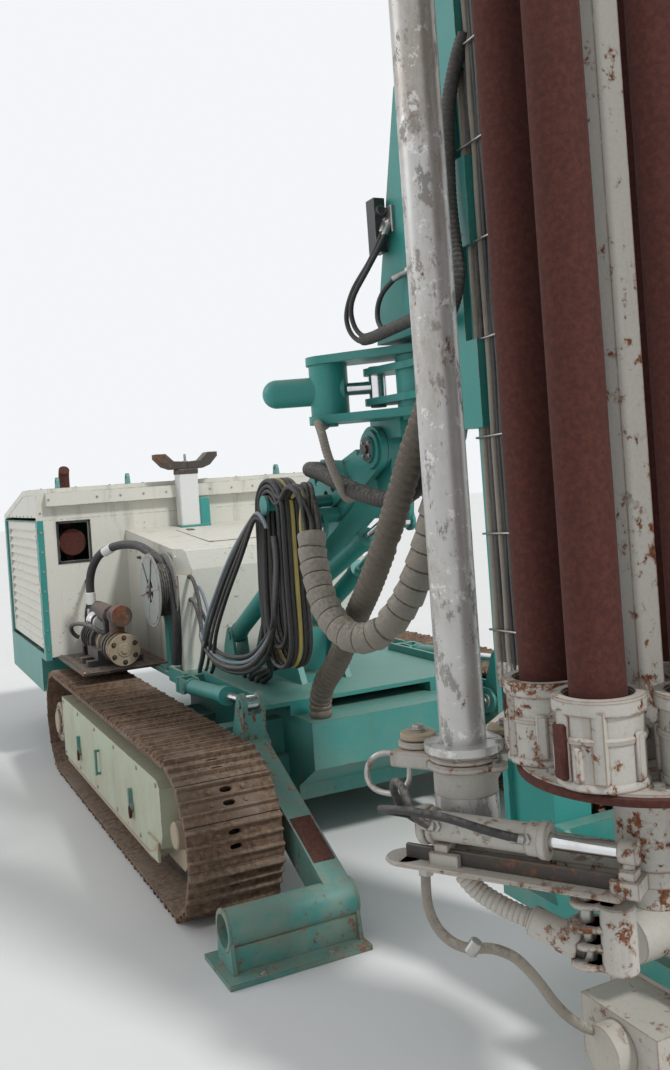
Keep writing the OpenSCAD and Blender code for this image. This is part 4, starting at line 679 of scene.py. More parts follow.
def make_track(side, name):
    """Shoes with bolts and links all round one track's loop."""
    piece = Piece(name + "_shoes", "chassis", "track")
    verts, faces = shoe_mesh()
    yc = side * 1000
    rng = random.Random(5 + side)
    for k in range(SHOES):
        (x, z), (tx, tz), (nx, nz) = loop_frame((k + 0.5) * PITCH)
        skew = rng.uniform(-0.006, 0.006)

        def put(p, x=x, z=z, tx=tx, tz=tz, nx=nx, nz=nz, skew=skew):
            t, y, h = p[0] + skew * p[1], p[1], p[2]
            return x + t * tx + h * nx, yc + y, z + t * tz + h * nz

        piece.use = "track"
        piece.add([put(p) for p in verts], faces)
        for y, t in itertools.product((-72, 72), (-0.22, 0.09)):
            a, b = put((t * PITCH, y, -1)), put((t * PITCH, y, 6))
            piece.bolt(a, Vector(b) - Vector(a), 11, 8, washer=False)
        piece.use = "dark"
        for y0 in (-62, 44):
            n = len(LINK_OUTLINE)
            ring = [put((t, y, h)) for y in (y0, y0 + 18) for t, h in LINK_OUTLINE]
            piece.add(ring, [tuple(range(n)), tuple(range(2 * n - 1, n - 1, -1))]
                      + [(i, n + i, n + (i + 1) % n, (i + 1) % n) for i in range(n)])
        piece.rod(put((80, -46, -57)), put((80, 46, -57)), 22, 12)
    obj = piece.make(smooth=40)
    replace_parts(obj, name)


make_track(1, "track_left")
make_track(-1, "track_right")


# ---------------------------------------------------------------- hoses
GROOVE = 0.965


def at_length(path, s):
    """Point and direction at arc length s along a path."""
    run = 0.0
    for a, b in zip(path, path[1:]):
        d = (b - a).length
        if run + d >= s or b is path[-1]:
            return a.lerp(b, min(1.0, max(0.0, (s - run) / max(d, 1e-9)))), (b - a).normalized()
        run += d


def wrapped(piece, path, r, rings, sides, groove=None):
    """A tube of (place along the path, radius factor) rings, with the material groove in its grooves."""
    side = at_length(path, rings[0][0])[1].orthogonal().normalized()
    verts = []
    for s, k in rings:
        p, t = at_length(path, s)
        side = (side - t * side.dot(t)).normalized()
        up = t.cross(side)
        verts += [p + r * k * (c * side + d * up) for c, d in round_points(sides)]
    first = len(piece.marks)
    piece.add(verts, ring_faces(len(rings), sides))
    if groove:
        piece.mats.append(groove)
        for i in range(len(rings) - 1):
            if max(rings[i][1], rings[i + 1][1]) < GROOVE:
                piece.marks[first + i * sides:first + (i + 1) * sides] = [1] * sides


def sleeve_rings(length, pitch, lip, rng):
    """Overlapping bells: each starts wide at its rim, narrows and ends in a groove before the next."""
    rings, s = [(0.0, 0.97)], 0.0
    while s < length - pitch * 0.6:
        k = 1.0 + rng.uniform(-0.02, 0.03)
        p = pitch * rng.uniform(0.9, 1.1)
        rings += [(s + p * t, f) for t, f in ((0.02, k + lip * 0.7), (0.10, k + lip), (0.5, k + lip * 0.5), (0.88, k),
                                              (0.92, 0.90), (0.99, 0.90))]
        s += p
    return [q for q in rings if q[0] < length - 1] + [(length, 0.97)]


def spiral_rings(length, pitch, lip):
    rings, s = [(0.0, 0.97)], 2.0
    while s < length - pitch:
        rings += [(s, 1.0), (s + pitch * 0.35, 1.0 + lip), (s + pitch * 0.6, 1.0 + lip), (s + pitch * 0.92, 0.975)]
        s += pitch
    return [q for q in rings if q[0] < length - 1] + [(length, 0.97)]


def soft(name, where, path, r, mat, n=10, rings=None, smooth=60, groove=None):
    """A hose that rides on the body where; if where is two bodies and the points where a bend between them starts and
    ends, these are not used and the hose rides on no body.
    """
    crosses = not isinstance(where, str)
    piece = Piece(name, None if crosses else where, mat)
    if rings:
        wrapped(piece, path, r, rings, n, groove)
    else:
        piece.tube(path, r, n)
    obj = piece.make(smooth)
    if crosses:
        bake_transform(obj)
    return obj


def hose(name, where, points, r, mat="hose", n=10, step=18, bend=None):
    """A plain hose along smooth points, with no bend tighter than bend, or 4.2 diameters."""
    return soft(name, where, ease(smooth_path(points, step), bend or 8.4 * r), r, mat, n)


SLEEVE_A = [(1062, -500, 1530), (1082, -508, 1475), (1100, -515, 1420), (1210, -525, 1230), (1360, -495, 1120),
            (1500, -430, 1140), (1610, -360, 1270), (1690, -310, 1450), (1760, -280, 1650), (1830, -272, 1830),
            (1905, -272, 1945), (1975, -272, 1985), (2015, -272, 1985), (2059, -272, 1985)]
SLEEVE_B = [(680, -345, 641), (680, -345, 670), (680, -345, 700), (695, -345, 740), (750, -345, 815), (850, -345, 890),
            (950, -350, 970), (1080, -365, 1080), (1230, -380, 1200), (1380, -390, 1330), (1520, -385, 1500),
            (1640, -365, 1700), (1730, -338, 1880), (1830, -305, 2045), (1950, -285, 2120), (2010, -285, 2120),
            (2059, -285, 2120)]
SLEEVE_C = [(742, -231, 1811), (742, -265, 1811), (742, -295, 1811), (775, -350, 1812), (860, -388, 1808),
            (1000, -397, 1785), (1150, -395, 1745), (1320, -370, 1690), (1480, -315, 1660), (1600, -262, 1710),
            (1680, -240, 1820), (1740, -238, 1960), (1800, -238, 2085), (1880, -240, 2185), (1960, -242, 2215),
            (2010, -242, 2215), (2059, -242, 2215)]


def sleeve(name, points, r, cuts, bends, make_rings, mat, groove=None):
    """A long sleeve, cut at the path's points nearest to cuts; each stretch is made by soft with its entry of bends as
    where.
    """
    path = smooth_path(points, 12)
    marks = [min(range(len(path)), key=lambda i: (path[i] - Vector(c)).length) for c in cuts]
    parts = [path[a:b + 1] for a, b in zip([0] + marks, marks + [len(path) - 1])]
    return [soft(f"{name}_{k + 1}", bend, part, r, mat, 16, make_rings(path_length(part)), 28, groove)
            for k, (bend, part) in enumerate(zip(bends, parts))]


def make_sleeves():
    """Three sleeves of hoses: the wide one off the hank, the muddy one off the deck, the dark conduit."""
    rng = random.Random(3)
    wide = sleeve("sleeve_wide", SLEEVE_A, 58, [(1545, -402, 1178)],
                  [("boom", "swivel", (1090, -515, 1480), (1400, -480, 1130)),
                   ("swivel", "holder", (1540, -400, 1200), (1950, -272, 1960))],
                  lambda length: sleeve_rings(length, 66, 0.10, rng), "sleeve", "sleeve_dark")
    sleeve("sleeve_muddy", SLEEVE_B, 50, [(1088, -366, 1086), (1530, -384, 1514)],
           [("chassis", "boom", (700, -345, 760), (1050, -360, 1050)),
            ("boom", "swivel", (1110, -370, 1100), (1490, -386, 1460)),
            ("swivel", "holder", (1560, -380, 1560), (1900, -290, 2080))],
           lambda length: spiral_rings(length, 34, 0.09), "sleeve_mud")
    sleeve("conduit", SLEEVE_C, 35, [(1320, -370, 1690)],
           [("boom", "swivel", (850, -385, 1800), (1290, -375, 1700)),
            ("swivel", "holder", (1360, -355, 1680), (1950, -242, 2210))],
           lambda length: spiral_rings(length, 20, 0.035), "sleeve_dark")
    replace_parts(wide[0], "sleeve_hoses")


HANK_X, HANK_TOP_Z, HANK_LOW_Z = 700, 1613.3, 1040
HANK_R, HANK_STEP = 88, 24


def hank_turns(y, layer, rng):
    """One and a half turns over the bar: up the front, over, down, round and over again."""
    pts = []
    wob = [rng.uniform(-4, 4) for _ in range(12)]
    for turn in range(2):
        rho = HANK_R + HANK_STEP * (layer + turn)
        low_r = rho + 22 + wob[turn]
        pts += [(HANK_X + rho * math.cos(a), y, HANK_TOP_Z + rho * math.sin(a))
                for a in map(math.radians, (20, 55, 90, 125, 160))]
        pts += [(HANK_X - rho - 6 + wob[4], y + wob[5] * 0.3, 1480), (HANK_X - low_r, y, 1260)]
        if turn == 0:
            low_z = HANK_LOW_Z + HANK_STEP * (3 - layer) + wob[2]
            pts += [(HANK_X + low_r * math.cos(a), y, low_z + low_r * math.sin(a))
                    for a in map(math.radians, (180, 215, 250, 290, 325, 360))]
            pts += [(HANK_X + low_r - 4 + wob[6], y, 1260), (HANK_X + rho + 18, y, 1480)]
    return pts


def make_hank():
    """Ten hoses wound over the bar; each goes on into the open top of the wide sleeve and down to the deck."""
    rng = random.Random(8)
    mats = "hose hose_dust hose hose hose_dust hose hose yellow hose hose_dust".split()
    top, down = Vector((1062, -500, 1530)), Vector((20, -8, -55)).normalized()
    u = down.orthogonal().normalized()
    v = down.cross(u)
    made = []
    for k, mat in enumerate(mats):
        lane, layer = k % 5, 2 * (k // 5)
        y = -543 + HANK_STEP * lane
        a, rad = (2 * math.pi * k / 8 + 0.3, 39) if k < 8 else (math.pi * k, 12)
        spot = top + u * rad * math.cos(a) + v * rad * math.sin(a)
        rise = 60 + 22 * rng.random() + 14 * (layer // 2)
        lead = [spot + down * 45, spot, spot - down * 60 + Vector((-6, 0, 0)),
                (1040, (spot.y * 0.6 + y * 0.4), 1640 + rise * 0.5), (945, y, 1700 + rise * 0.6)]
        back = HANK_X - (HANK_R + HANK_STEP * (layer + 1)) - 20
        tx, ty = 40 - 62 * lane, -395 + 26 * (k // 5) - 9 * (k % 3)
        tail = [(back + 4, y, 1120), (back - 40 - 8 * (k % 4), y + 6, 985 - 9 * lane),
                (back - 170, (y + ty) / 2, 850 + 8 * (k % 3)), (tx + 130, ty, 770), (tx + 30, ty, 722), (tx, ty, 690),
                (tx, ty, 642)]
        made.append(hose(f"hank_hose_{k + 1}", ("boom", "chassis", (500, -500, 960), (60, -500, 690)),
                         lead + hank_turns(y, layer, rng) + tail, 11, mat, 8, 20, 66))
    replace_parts(made[0], "hose_hank")


make_sleeves()
make_hank()


# ---------------------------------------------------------------- mast, swivel and slew hoses
FRONT_HOSES = ((2146, 15, "sleeve"), (2174, 12, "hose_dust"), (2200, 13, "sleeve"), (2226, 11, "hose"),
               (2250, 12, "hose_dust"), (2276, 12, "hose"), (2301, 11, "hose_dust"))
CRIMP = ((0, 1.0), (0.2, 1.1), (0.3, 1.25), (0.9, 1.15), (1, 1.05))


def wire_tie(piece, x0, x1, y, z, r):
    """A wire round a flat bundle of hoses that run upright."""
    ring = [(x0 - r, y - r, z), (x1 + r, y - r, z + 6), (x1 + r, y + r, z + 4), (x0 - r, y + r, z - 3)]
    for a, b in zip(ring, ring[1:] + ring[:1]):
        piece.rod(a, b, 4, 6, 1)


def make_mast_hoses():
    """The upright bundle on the mast's side in two lengths, with crimped ends and wire ties."""
    rng = random.Random(21)
    hoses = Piece("mast_hose_bundle", "mast", "hose_dust")
    ties = Piece("mast_hose_ties", "mast", "bare")
    for z0, z1 in ((1035, 3785), (4015, 5590)):
        for x, r, mat in FRONT_HOSES:
            y = -291 - r
            pts = [(x, y, z0)]
            z = z0 + 120
            while z < z1 - 120:
                pts.append((x + rng.uniform(-3.5, 3.5), y - rng.uniform(0, 5), z))
                z += rng.uniform(150, 260)
            hoses.use = mat
            hoses.tube(smooth_path(pts + [(x, y, z1)], 60), r)
            hoses.use = "bare"
            for z, s in ((z0, 1), (z1, -1)):
                hoses.profile_rod((x, y, z - s * 24), (x, y, z + s * 62), [(t, r * k) for t, k in CRIMP], 10)
        for z in range(z0 + 170, z1 - 60, 330):
            wire_tie(ties, 2136, 2308, -306, z, 19)
    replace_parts(hoses.make(smooth=50), "mast_hoses")
    ties.make(smooth=50)


LOOPS = [[(1440, -248, 2792), (1462, -275, 2735), (1400, -305, 2640), (1290, -335, 2540), (1235, -345, 2440),
          (1262, -335, 2350), (1345, -318, 2312)],
         [(1475, -248, 2770), (1490, -290, 2700), (1425, -330, 2600), (1325, -350, 2510), (1285, -352, 2430),
          (1310, -340, 2362), (1375, -325, 2330)],
         [(1560, -232, 2560), (1530, -262, 2545), (1470, -290, 2500), (1430, -310, 2440), (1440, -318, 2380),
          (1500, -318, 2345)]]
LOOM = [(1320, -318, 2330), (1400, -318, 2326), (1560, -312, 2336), (1740, -308, 2345), (1900, -322, 2330),
        (2010, -365, 2290), (2090, -400, 2240), (2150, -405, 2290), (2190, -395, 2390), (2160, -385, 2520),
        (2140, -380, 2680), (2142, -375, 2850), (2150, -365, 3000), (2170, -340, 3130), (2190, -312, 3230)]
SLEW = [(1075, -395, 2003), (1092, -432, 1975), (1165, -482, 2010), (1245, -505, 1965), (1282, -500, 1860),
        (1262, -450, 1745), (1180, -375, 1675), (1100, -290, 1680), (1050, -212, 1706)]
LOOP_HOSE_R = 10.5
LOOP_ENDS = (((1440, -246, 2796), (22, -27, -57)), ((1475, -246, 2776), (15, -42, -70)),
             ((1562, -230, 2562), (-30, -30, -15)))
FITTING = ((0, 1.35), (0.12, 1.5), (0.14, 1.3), (0.45, 1.3), (0.5, 1.45), (0.9, 1.32), (1.0, 1.15))


def make_swivel_hoses():
    """Loops and fittings on the mast holder, the loom, the slew hose and four hoses to the pump side."""
    for k, pts in enumerate(LOOPS):
        hose(f"loop_hose_{k + 1}", "holder", pts, LOOP_HOSE_R)
    fit = Piece("loop_fittings", "holder", "bare")
    for at, way in LOOP_ENDS:
        d = Vector(way).normalized()
        fit.profile_rod(Vector(at) - d * 4, Vector(at) + d * 62, [(t, LOOP_HOSE_R * k) for t, k in FITTING], 12)
        fit.turned_at(at, d, [(-18, 0), (-18, LOOP_HOSE_R * 1.7), (-3, LOOP_HOSE_R * 1.7), (0, LOOP_HOSE_R * 1.5),
                              (0, 0)], 6)
    fit.box((1415, -246, 2740), (1500, -226, 2850), 3)
    fit.make()
    for name, where, points, step, bend, r, mat, pitch, lip in (
            ("loom_hose", ("holder", "mast", (2000, -365, 2290), (2180, -380, 2800)),
             LOOM, 14, 120, 24, "sleeve_dark", 17, 0.05),
            ("slew_hose", ("swivel", "boom", (1250, -500, 1960), (1100, -300, 1690)),
             SLEW, 12, 110, 18, "sleeve", 13, 0.06)):
        path = ease(smooth_path(points, step), bend)
        soft(name, where, path, r, mat, 12, spiral_rings(path_length(path), pitch, lip), 30)
    # thin hoses that sweep from the bar down to the pump side
    for k, (r, mat) in enumerate(((11, "hose"), (9, "hose_dust"), (12, "hose"), (10, "grey_hose"))):
        x1, y1 = -300 - 70 * k, -560 - 9 * (k % 3)
        pts = [(760 + 14 * k, -590 - 4 * k, 1560), (735 + 8 * k, -600 - 3 * k, 1625), (640 - 10 * k, -598, 1600),
               (430 - 26 * k, -606 - 4 * k, 1400 + 10 * k), (190 - 44 * k, -612, 1185 + 12 * k),
               (-20 - 52 * k, -606, 985 + 14 * k), (x1 + 90, y1 - 6, 800 + 6 * k), (x1 + 14, y1, 742), (x1, y1, 711)]
        hose(f"sweep_hose_{k + 1}", ("boom", "chassis", (480, -600, 1430), (-50, -600, 960)), pts, r, mat, 8, 20, 90)


make_mast_hoses()
make_swivel_hoses()


# ---------------------------------------------------------------- magazine
SWING = (2660, -800)
TUBE_R = 64.5
ARM_C, ARM_S = math.cos(math.radians(32)), math.sin(math.radians(32))


def arm(x, y, z):
    """A point of the magazine arm's own frame in the row frame."""
    return (SWING[0] + x * ARM_C - y * ARM_S, SWING[1] + x * ARM_S + y * ARM_C, z)


def on_arm(*points):
    return [arm(*p) for p in points]


def arm_boxes(piece, *boxes):
    """Boxes in the magazine arm's frame: (low, high, bevel)."""
    piece.at((*SWING, 0), x=(ARM_C, ARM_S, 0))
    for box in boxes:
        piece.box(*box)
    piece.at()


def make_magazine():
    """Cast details round the foot of the swing tube and along the lower arm."""
    p = Piece("magazine_castings", "magazine", "grey")
    # socket of the swing tube: flange with two lugs, collar and foot ring
    for z, t, r in ((948, 20, 104), (968, 16, 96)):
        p.disc((*SWING, z), t, r, 4, 36, TUBE_R, 5)
    for a in (205, 25):
        x, y = SWING[0] + 96 * math.cos(math.radians(a)), SWING[1] + 96 * math.sin(math.radians(a))
        p.disc((x, y, 948), 20, 34, 3, 18, 0, 4)
        p.use = "bare"
        p.bolt((x, y, 968), (0, 0, 1), 13, 11)
        p.use = "grey"
    p.use = "bare"
    p.bolt_ring((*SWING, 984), (0, 0, 1), 82, 6, 15, 8, 8)
    p.use = "grey"
    for z, t, r in ((762, 14, 92), (900, 14, 78)):
        p.disc((*SWING, z), t, r, 4, 32, TUBE_R)
    # round ended links with their pins behind the tube
    for x, y, z, r in ((-150, 20, 985, 58), (-150, 20, 1007, 52), (60, 150, 985, 55), (60, 150, 1007, 50)):
        p.use = "grey" if z < 1000 else "tan"
        p.disc(arm(x, y, z), 18, r, 3)
    p.use = "bare"
    for x, y in ((-150, 20), (60, 150)):
        p.rod(arm(x, y, 955), arm(x, y, 1034), 20, 18)
        p.bolt(arm(x, y, 1034), (0, 0, 1), 17, 12)
    p.use = "tan"
    arm_boxes(p, ((-205, -52, 958), (66, 66, 984), 7))
    p.use = "grey"
    # the last one is the long lower arm's flange
    arm_boxes(p, ((-60, 96, 958), (112, 192, 984), 7), ((-205, -58, 940), (40, -44, 984), 4),
              ((-128, -190, 716), (470, -76, 730), 5))
    p.disc(arm(-128, -133, 716), 14, 57, 5)
    p.use = "dark"
    arm_boxes(p, ((-120, -150, 730), (455, -136, 768), 3))
    # crimped ends of the hose below the arm
    p.use = "bare"
    p.rod(arm(-92, -96, 700), arm(-92, -96, 668), 23, 6)
    p.rod(arm(26, -103, 480), arm(48, -94, 512), 19, 12)
    p.make(smooth=38)


LUG_PIN, LUG_END_X = (352, -95), 430


def make_lugs():
    """Wrapped hose, its end and the four lugs with their pin at the end of the lower arm."""
    px, py = LUG_PIN
    q = Piece("magazine_lugs", "magazine", "grey")
    wrap = smooth_path(on_arm((30, -120, 700), (70, -118, 660), (140, -112, 625), (220, -105, 600)), 12)
    wrapped(q, wrap, 24, spiral_rings(path_length(wrap), 15, 0.08), 12)
    q.profile_rod(arm(205, -106, 604), arm(330, -96, 560),
                  [(0, 30), (0.06, 38), (0.6, 38), (0.64, 42), (0.94, 42), (1, 36)], 20)
    q.use = "dark"
    q.rod(arm(325, -97, 562), arm(px, py, 553), 30, 20)
    q.use = "bare"
    q.rod(arm(px, py, 500), arm(px, py, 716), 19, 18)
    q.use = "grey"
    for z, r in ((512, 46), (560, 42), (606, 46), (660, 40)):
        q.disc(arm(px, py, z), 16, r, 3, 24)
        arm_boxes(q, ((px, py - r * 0.7, z), (LUG_END_X, py + r * 0.7, z + 16), 4))
    q.disc(arm(LUG_END_X, py, 512), 164, 44, 4, 24)
    q.make(smooth=38)


INDEX_Y, INDEX_Z = -132, 822


def make_index_cylinder():
    """Gland, base cap, rod and ports of the index cylinder, and the grab handle beside it."""
    c = Piece("index_cylinder_fittings", "magazine", "grey")
    for use, x0, x1, r, bevel in (("chrome", 266, 459, 19.6, 1), ("grey", -70, -48, 52, 3), ("grey", -46, -30, 47, 3),
                                  ("grey", 262, 286, 47, 3)):
        c.use = use
        c.rod(arm(x0, INDEX_Y, INDEX_Z), arm(x1, INDEX_Y, INDEX_Z), r, 24, bevel)
    c.use = "bare"
    for x in (-12, 236):
        c.rod(arm(x, INDEX_Y, INDEX_Z), arm(x, -180, 836), 15, 6)
        c.rod(arm(x, -178, 835), arm(x - 34, -190, 840), 13, 12)
    c.make(smooth=38)
    h = Piece("arm_handle", "magazine", "bare")
    h.tube(smooth_path(on_arm((-196, -30, 972), (-250, -34, 966), (-282, -40, 940), (-288, -48, 900), (-262, -56, 872),
                              (-205, -62, 866), (-168, -60, 880), (-150, -52, 905), (-148, -46, 942)), 10), 8.5)
    h.make(smooth=50)


CAROUSEL = (3082.3, -536.1)
CUP_RINGS = ((1196, ((0, 98), (10, 104), (24, 108), (30, 107), (30, 84), (4, 84))),
             (1122, ((0, 98), (3, 104), (12, 107), (18, 104), (21, 98))),
             (1021, ((0, 98), (0, 107), (8, 107), (16, 103), (20, 98))))
CUP_RIBS = ((-0.5, "rusty", (97, -19, 1040), (119, 19, 1168)), (-0.5, "grey", (80, 30, 1040), (103, 52, 1120)),
            (-0.5, "grey", (72, -66, 1040), (92, -46, 1112)), (1.4, "grey", (97, -15, 1040), (110, 15, 1150)),
            (-2.2, "grey", (97, -15, 1040), (110, 15, 1150)))


def make_cups():
    """Rings and ribs of the six cups, and the rim and bolts of the carousel's disc."""
    p = Piece("cup_details", "carousel", "grey")
    for k in range(6):
        a = math.radians(-66.5 + 60 * k)
        x, y = CAROUSEL[0] + 230 * math.cos(a), CAROUSEL[1] + 230 * math.sin(a)
        p.use = "grey"
        for z, profile in CUP_RINGS:
            p.at((x, y, z))
            p.turned(profile, 36, True)
        for turn, use, low, high in CUP_RIBS:
            p.at((x, y, 0), x=(math.cos(a + turn), math.sin(a + turn), 0))
            p.use = use
            p.box(low, high, 5)
        p.at()
    p.use = "bare"
    p.bolt_ring((*CAROUSEL, 1020), (0, 0, 1), 262, 6, -36.5, 14, 12)
    p.use = "rusty"
    p.at((*CAROUSEL, 992))
    p.turned([(0, 296), (0, 314), (6, 318), (18, 318), (22, 312), (22, 296)], 64, True)
    p.make(smooth=40)


def make_index_hoses():
    """Two hoses of the index cylinder and the one that hangs to the clamp block."""
    hose("index_hose_1", "magazine",
         on_arm((-24, -188, 839), (-52, -204, 864), (-70, -212, 912), (-86, -200, 946), (-118, -176, 948),
                (-146, -150, 925), (-150, -128, 880), (-142, -104, 840), (-122, -84, 812), (-90, -76, 800)),
         11, "hose_dust", bend=50.6)
    hose("index_hose_2", "magazine",
         on_arm((222, -188, 839), (150, -212, 858), (60, -245, 888), (-40, -262, 900), (-150, -262, 893),
                (-232, -240, 880), (-272, -206, 868), (-262, -168, 860), (-205, -136, 850), (-140, -112, 836),
                (-88, -100, 826)), 11)
    upper = on_arm((-92, -96, 704), (-94, -98, 640), (-92, -100, 560), (-86, -104, 500), (-60, -110, 462),
                   (-20, -112, 456), (22, -104, 478), (48, -94, 512))
    lower = [(2785, -812, 508), (2812, -735, 420), (2814, -655, 305), (2818, -590, 240), (2826, -538, 212)]
    hose("clamp_hose", ("magazine", "mast", (2760, -840, 520), (2816, -620, 270)), upper + lower, 14, "sleeve", 12, 16,
         100)


make_magazine()
make_lugs()
make_index_cylinder()
make_cups()
make_index_hoses()


# ---------------------------------------------------------------- pump, reel, housing and mast rest
PUMP_Y, PUMP_Z = -890, 840
FLANGE_X = -890
COUPLING = (-925, 965)


def make_pump():
    """Flange, coupling, rings and bolts of the mud pump, and the chequer plate below it."""
    p = Piece("pump_details", "chassis", "tan")
    # round flange with six bolts and a hub, facing forward
    for x0, x1, r, n, bevel in ((0, 9, 96, 36, 3), (8, 15, 40, 24, 3), (14, 24, 22, 6, 2)):
        p.rod((FLANGE_X + x0, PUMP_Y, PUMP_Z), (FLANGE_X + x1, PUMP_Y, PUMP_Z), r, n, bevel)
    p.use = "dark"
    for k in range(6):
        a = math.radians(60 * k + 30)
        y, z = PUMP_Y + 72 * math.cos(a), PUMP_Z + 72 * math.sin(a)
        p.rod((FLANGE_X + 7, y, z), (FLANGE_X + 11, y, z), 15, 16, 1)
        p.bolt((FLANGE_X + 9, y, z), (1, 0, 0), 9, 10)
    # chrome coupling with its clamps at the rear end
    p.use = "chrome"
    for x, r in ((-1480, 62), (-1455, 66), (-1432, 62), (-1408, 66), (-1384, 60)):
        p.rod((x, *COUPLING), (x + 15, *COUPLING), r, 26, 4)
    p.use = "dark"
    p.rod((-1500, *COUPLING), (-1365, *COUPLING), 54, 24)
    p.use = "tan"
    for x in (-1600, -1250, -1010):
        p.rod((x, PUMP_Y, PUMP_Z), (x + 22, PUMP_Y, PUMP_Z), 88, 30, 4, hole=60)
    p.use = "dark"
    for x in (-1560, -1130):
        p.bolt_ring((x, PUMP_Y, PUMP_Z), (1, 0, 0), 70, 8, 0, 8, 7)
    p.use = "white"
    p.rod((-1345, -915, 955), (-1325, -915, 955), 60, 24, 4)
    p.make(smooth=38)
    # chequer plate on the skid
    f = Piece("pump_foot_plate", "chassis", "dark")
    for i, j in itertools.product(range(16), range(9)):
        f.at((-1735 + 50 * i, -1110 + 54 * j, 724), x=(1, 1 if (i + j) % 2 else -1, 0))
        f.box((-14, -3.5, 0), (14, 3.5, 2.2), 1)
    f.at()
    f.use = "bare"
    for x, y in itertools.product((-1740, -950), (-1112, -628)):
        f.bolt((x, y, 724), (0, 0, 1), 10, 9)
    f.make(smooth=30)


def make_pump_hoses():
    """The suction hose that arches over the pump and down behind the reel, its bands, and two thin hoses."""
    hose("arch_hose", "chassis", [(-1560, -925, 960), (-1556, -930, 1100), (-1530, -925, 1260), (-1440, -880, 1380),
                                  (-1290, -800, 1436), (-1120, -728, 1440), (-960, -690, 1405), (-800, -650, 1330),
                                  (-680, -645, 1210), (-640, -640, 1040), (-660, -636, 880), (-690, -634, 760),
                                  (-700, -634, 712)], 27, n=14)
    b = Piece("arch_hose_bands", "chassis", "white")
    for use, a, c, r in (("white", (-1396, -857, 1398), (-1330, -823, 1426), 31),
                         ("white", (-1558, -928, 1060), (-1552, -930, 1140), 31),
                         ("bare", (-700, -634, 711), (-696, -634, 745), 36),
                         ("bare", (-1560, -925, 992), (-1560, -925, 1034), 36)):
        b.use = use
        b.rod(a, c, r, 20, 4)
    b.make(smooth=38)
    hose("pump_hose_1", "chassis", [(-1620, -1010, 850), (-1615, -1060, 880), (-1560, -1078, 930), (-1440, -1050, 960),
                                    (-1330, -1005, 955), (-1250, -960, 925), (-1215, -925, 905)], 14, "hose_dust")
    hose("pump_hose_2", "chassis", [(-1812, -900, 1190), (-1740, -902, 1212), (-1650, -908, 1215), (-1590, -918, 1180),
                                    (-1560, -940, 1100), (-1572, -960, 1010), (-1600, -960, 930)], 12)


REEL = (-800, -680, 1180)


def make_reel():
    """Flanges with spokes, six turns of hose and the hub."""
    p = Piece("reel_spool", "reel", "reel_grey")
    p.at(REEL, z=(0, 1, 0))
    for a, b in ((-56, -44), (44, 56)):
        p.turned([(a, 70), (a, 196), (a + 3, 199), (a + 1, 214), (a + 6, 220), (b - 1, 214), (b - 3, 199), (b, 196),
                  (b, 70)], 48, True)
    for k in range(6):
        a = math.radians(60 * k + 10)
        for y in (-58, 52):
            p.at((REEL[0], REEL[1] + y, REEL[2]), x=(math.cos(a), 0, math.sin(a)))
            p.box((30, 0, -11), (200, 6, 11), 2)
    # six turns of hose between the flanges, then the hub
    p.at(REEL, z=(0, 1, 0))
    p.use = "hose_dust"
    turns = [(-35 + 14 * i - 7 * math.cos(t), 150 + 7 * math.sin(t))
             for i in range(6) for t in (math.pi * q / 6 for q in range(7))]
    p.turned([(-42, 70)] + turns + [(42, 70)], 44, True)
    p.use = "dark"
    p.turned([(-66, 0), (-66, 34), (-62, 38), (62, 38), (66, 34), (66, 0)], 24)
    p.use = "bare"
    p.turned([(-84, 0), (-84, 16), (-66, 18), (-66, 0)], 6)
    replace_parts(p.make(smooth=34), "hose_reel")


def make_mast_rest():
    """The post with two horns that carries the lowered mast."""
    p = Piece("mast_rest_post", "chassis", "white")
    for use, low, high, bevel in (("white", (-1785, -248, 1500), (-1675, -112, 1905), 6),
                                  ("teal_clean", (-1790, -112, 1500), (-1670, -40, 1700), 8),
                                  ("teal_clean", (-1795, -256, 1500), (-1665, -40, 1516), 4),
                                  ("dark", (-1790, -252, 1868), (-1670, -108, 1905), 5)):
        p.use = use
        p.box(low, high, bevel)
    horn = [(0, 1905), (0, 1955), (-95, 1962), (-150, 2015), (-220, 2015), (-220, 1985), (-165, 1926), (-110, 1905)]
    for side in (-1, 1):
        p.prism([(-180 - side * y, z) for y, z in horn], "yz", -1785, -1675, 4)
    p.use = "bare"
    p.rod((-1730, -180, 1950), (-1730, -180, 2010), 9, 12)
    p.rod((-1730, -180, 1955), (-1730, -180, 1962), 20, 16)
    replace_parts(p.make(smooth=34), "mast_rest")


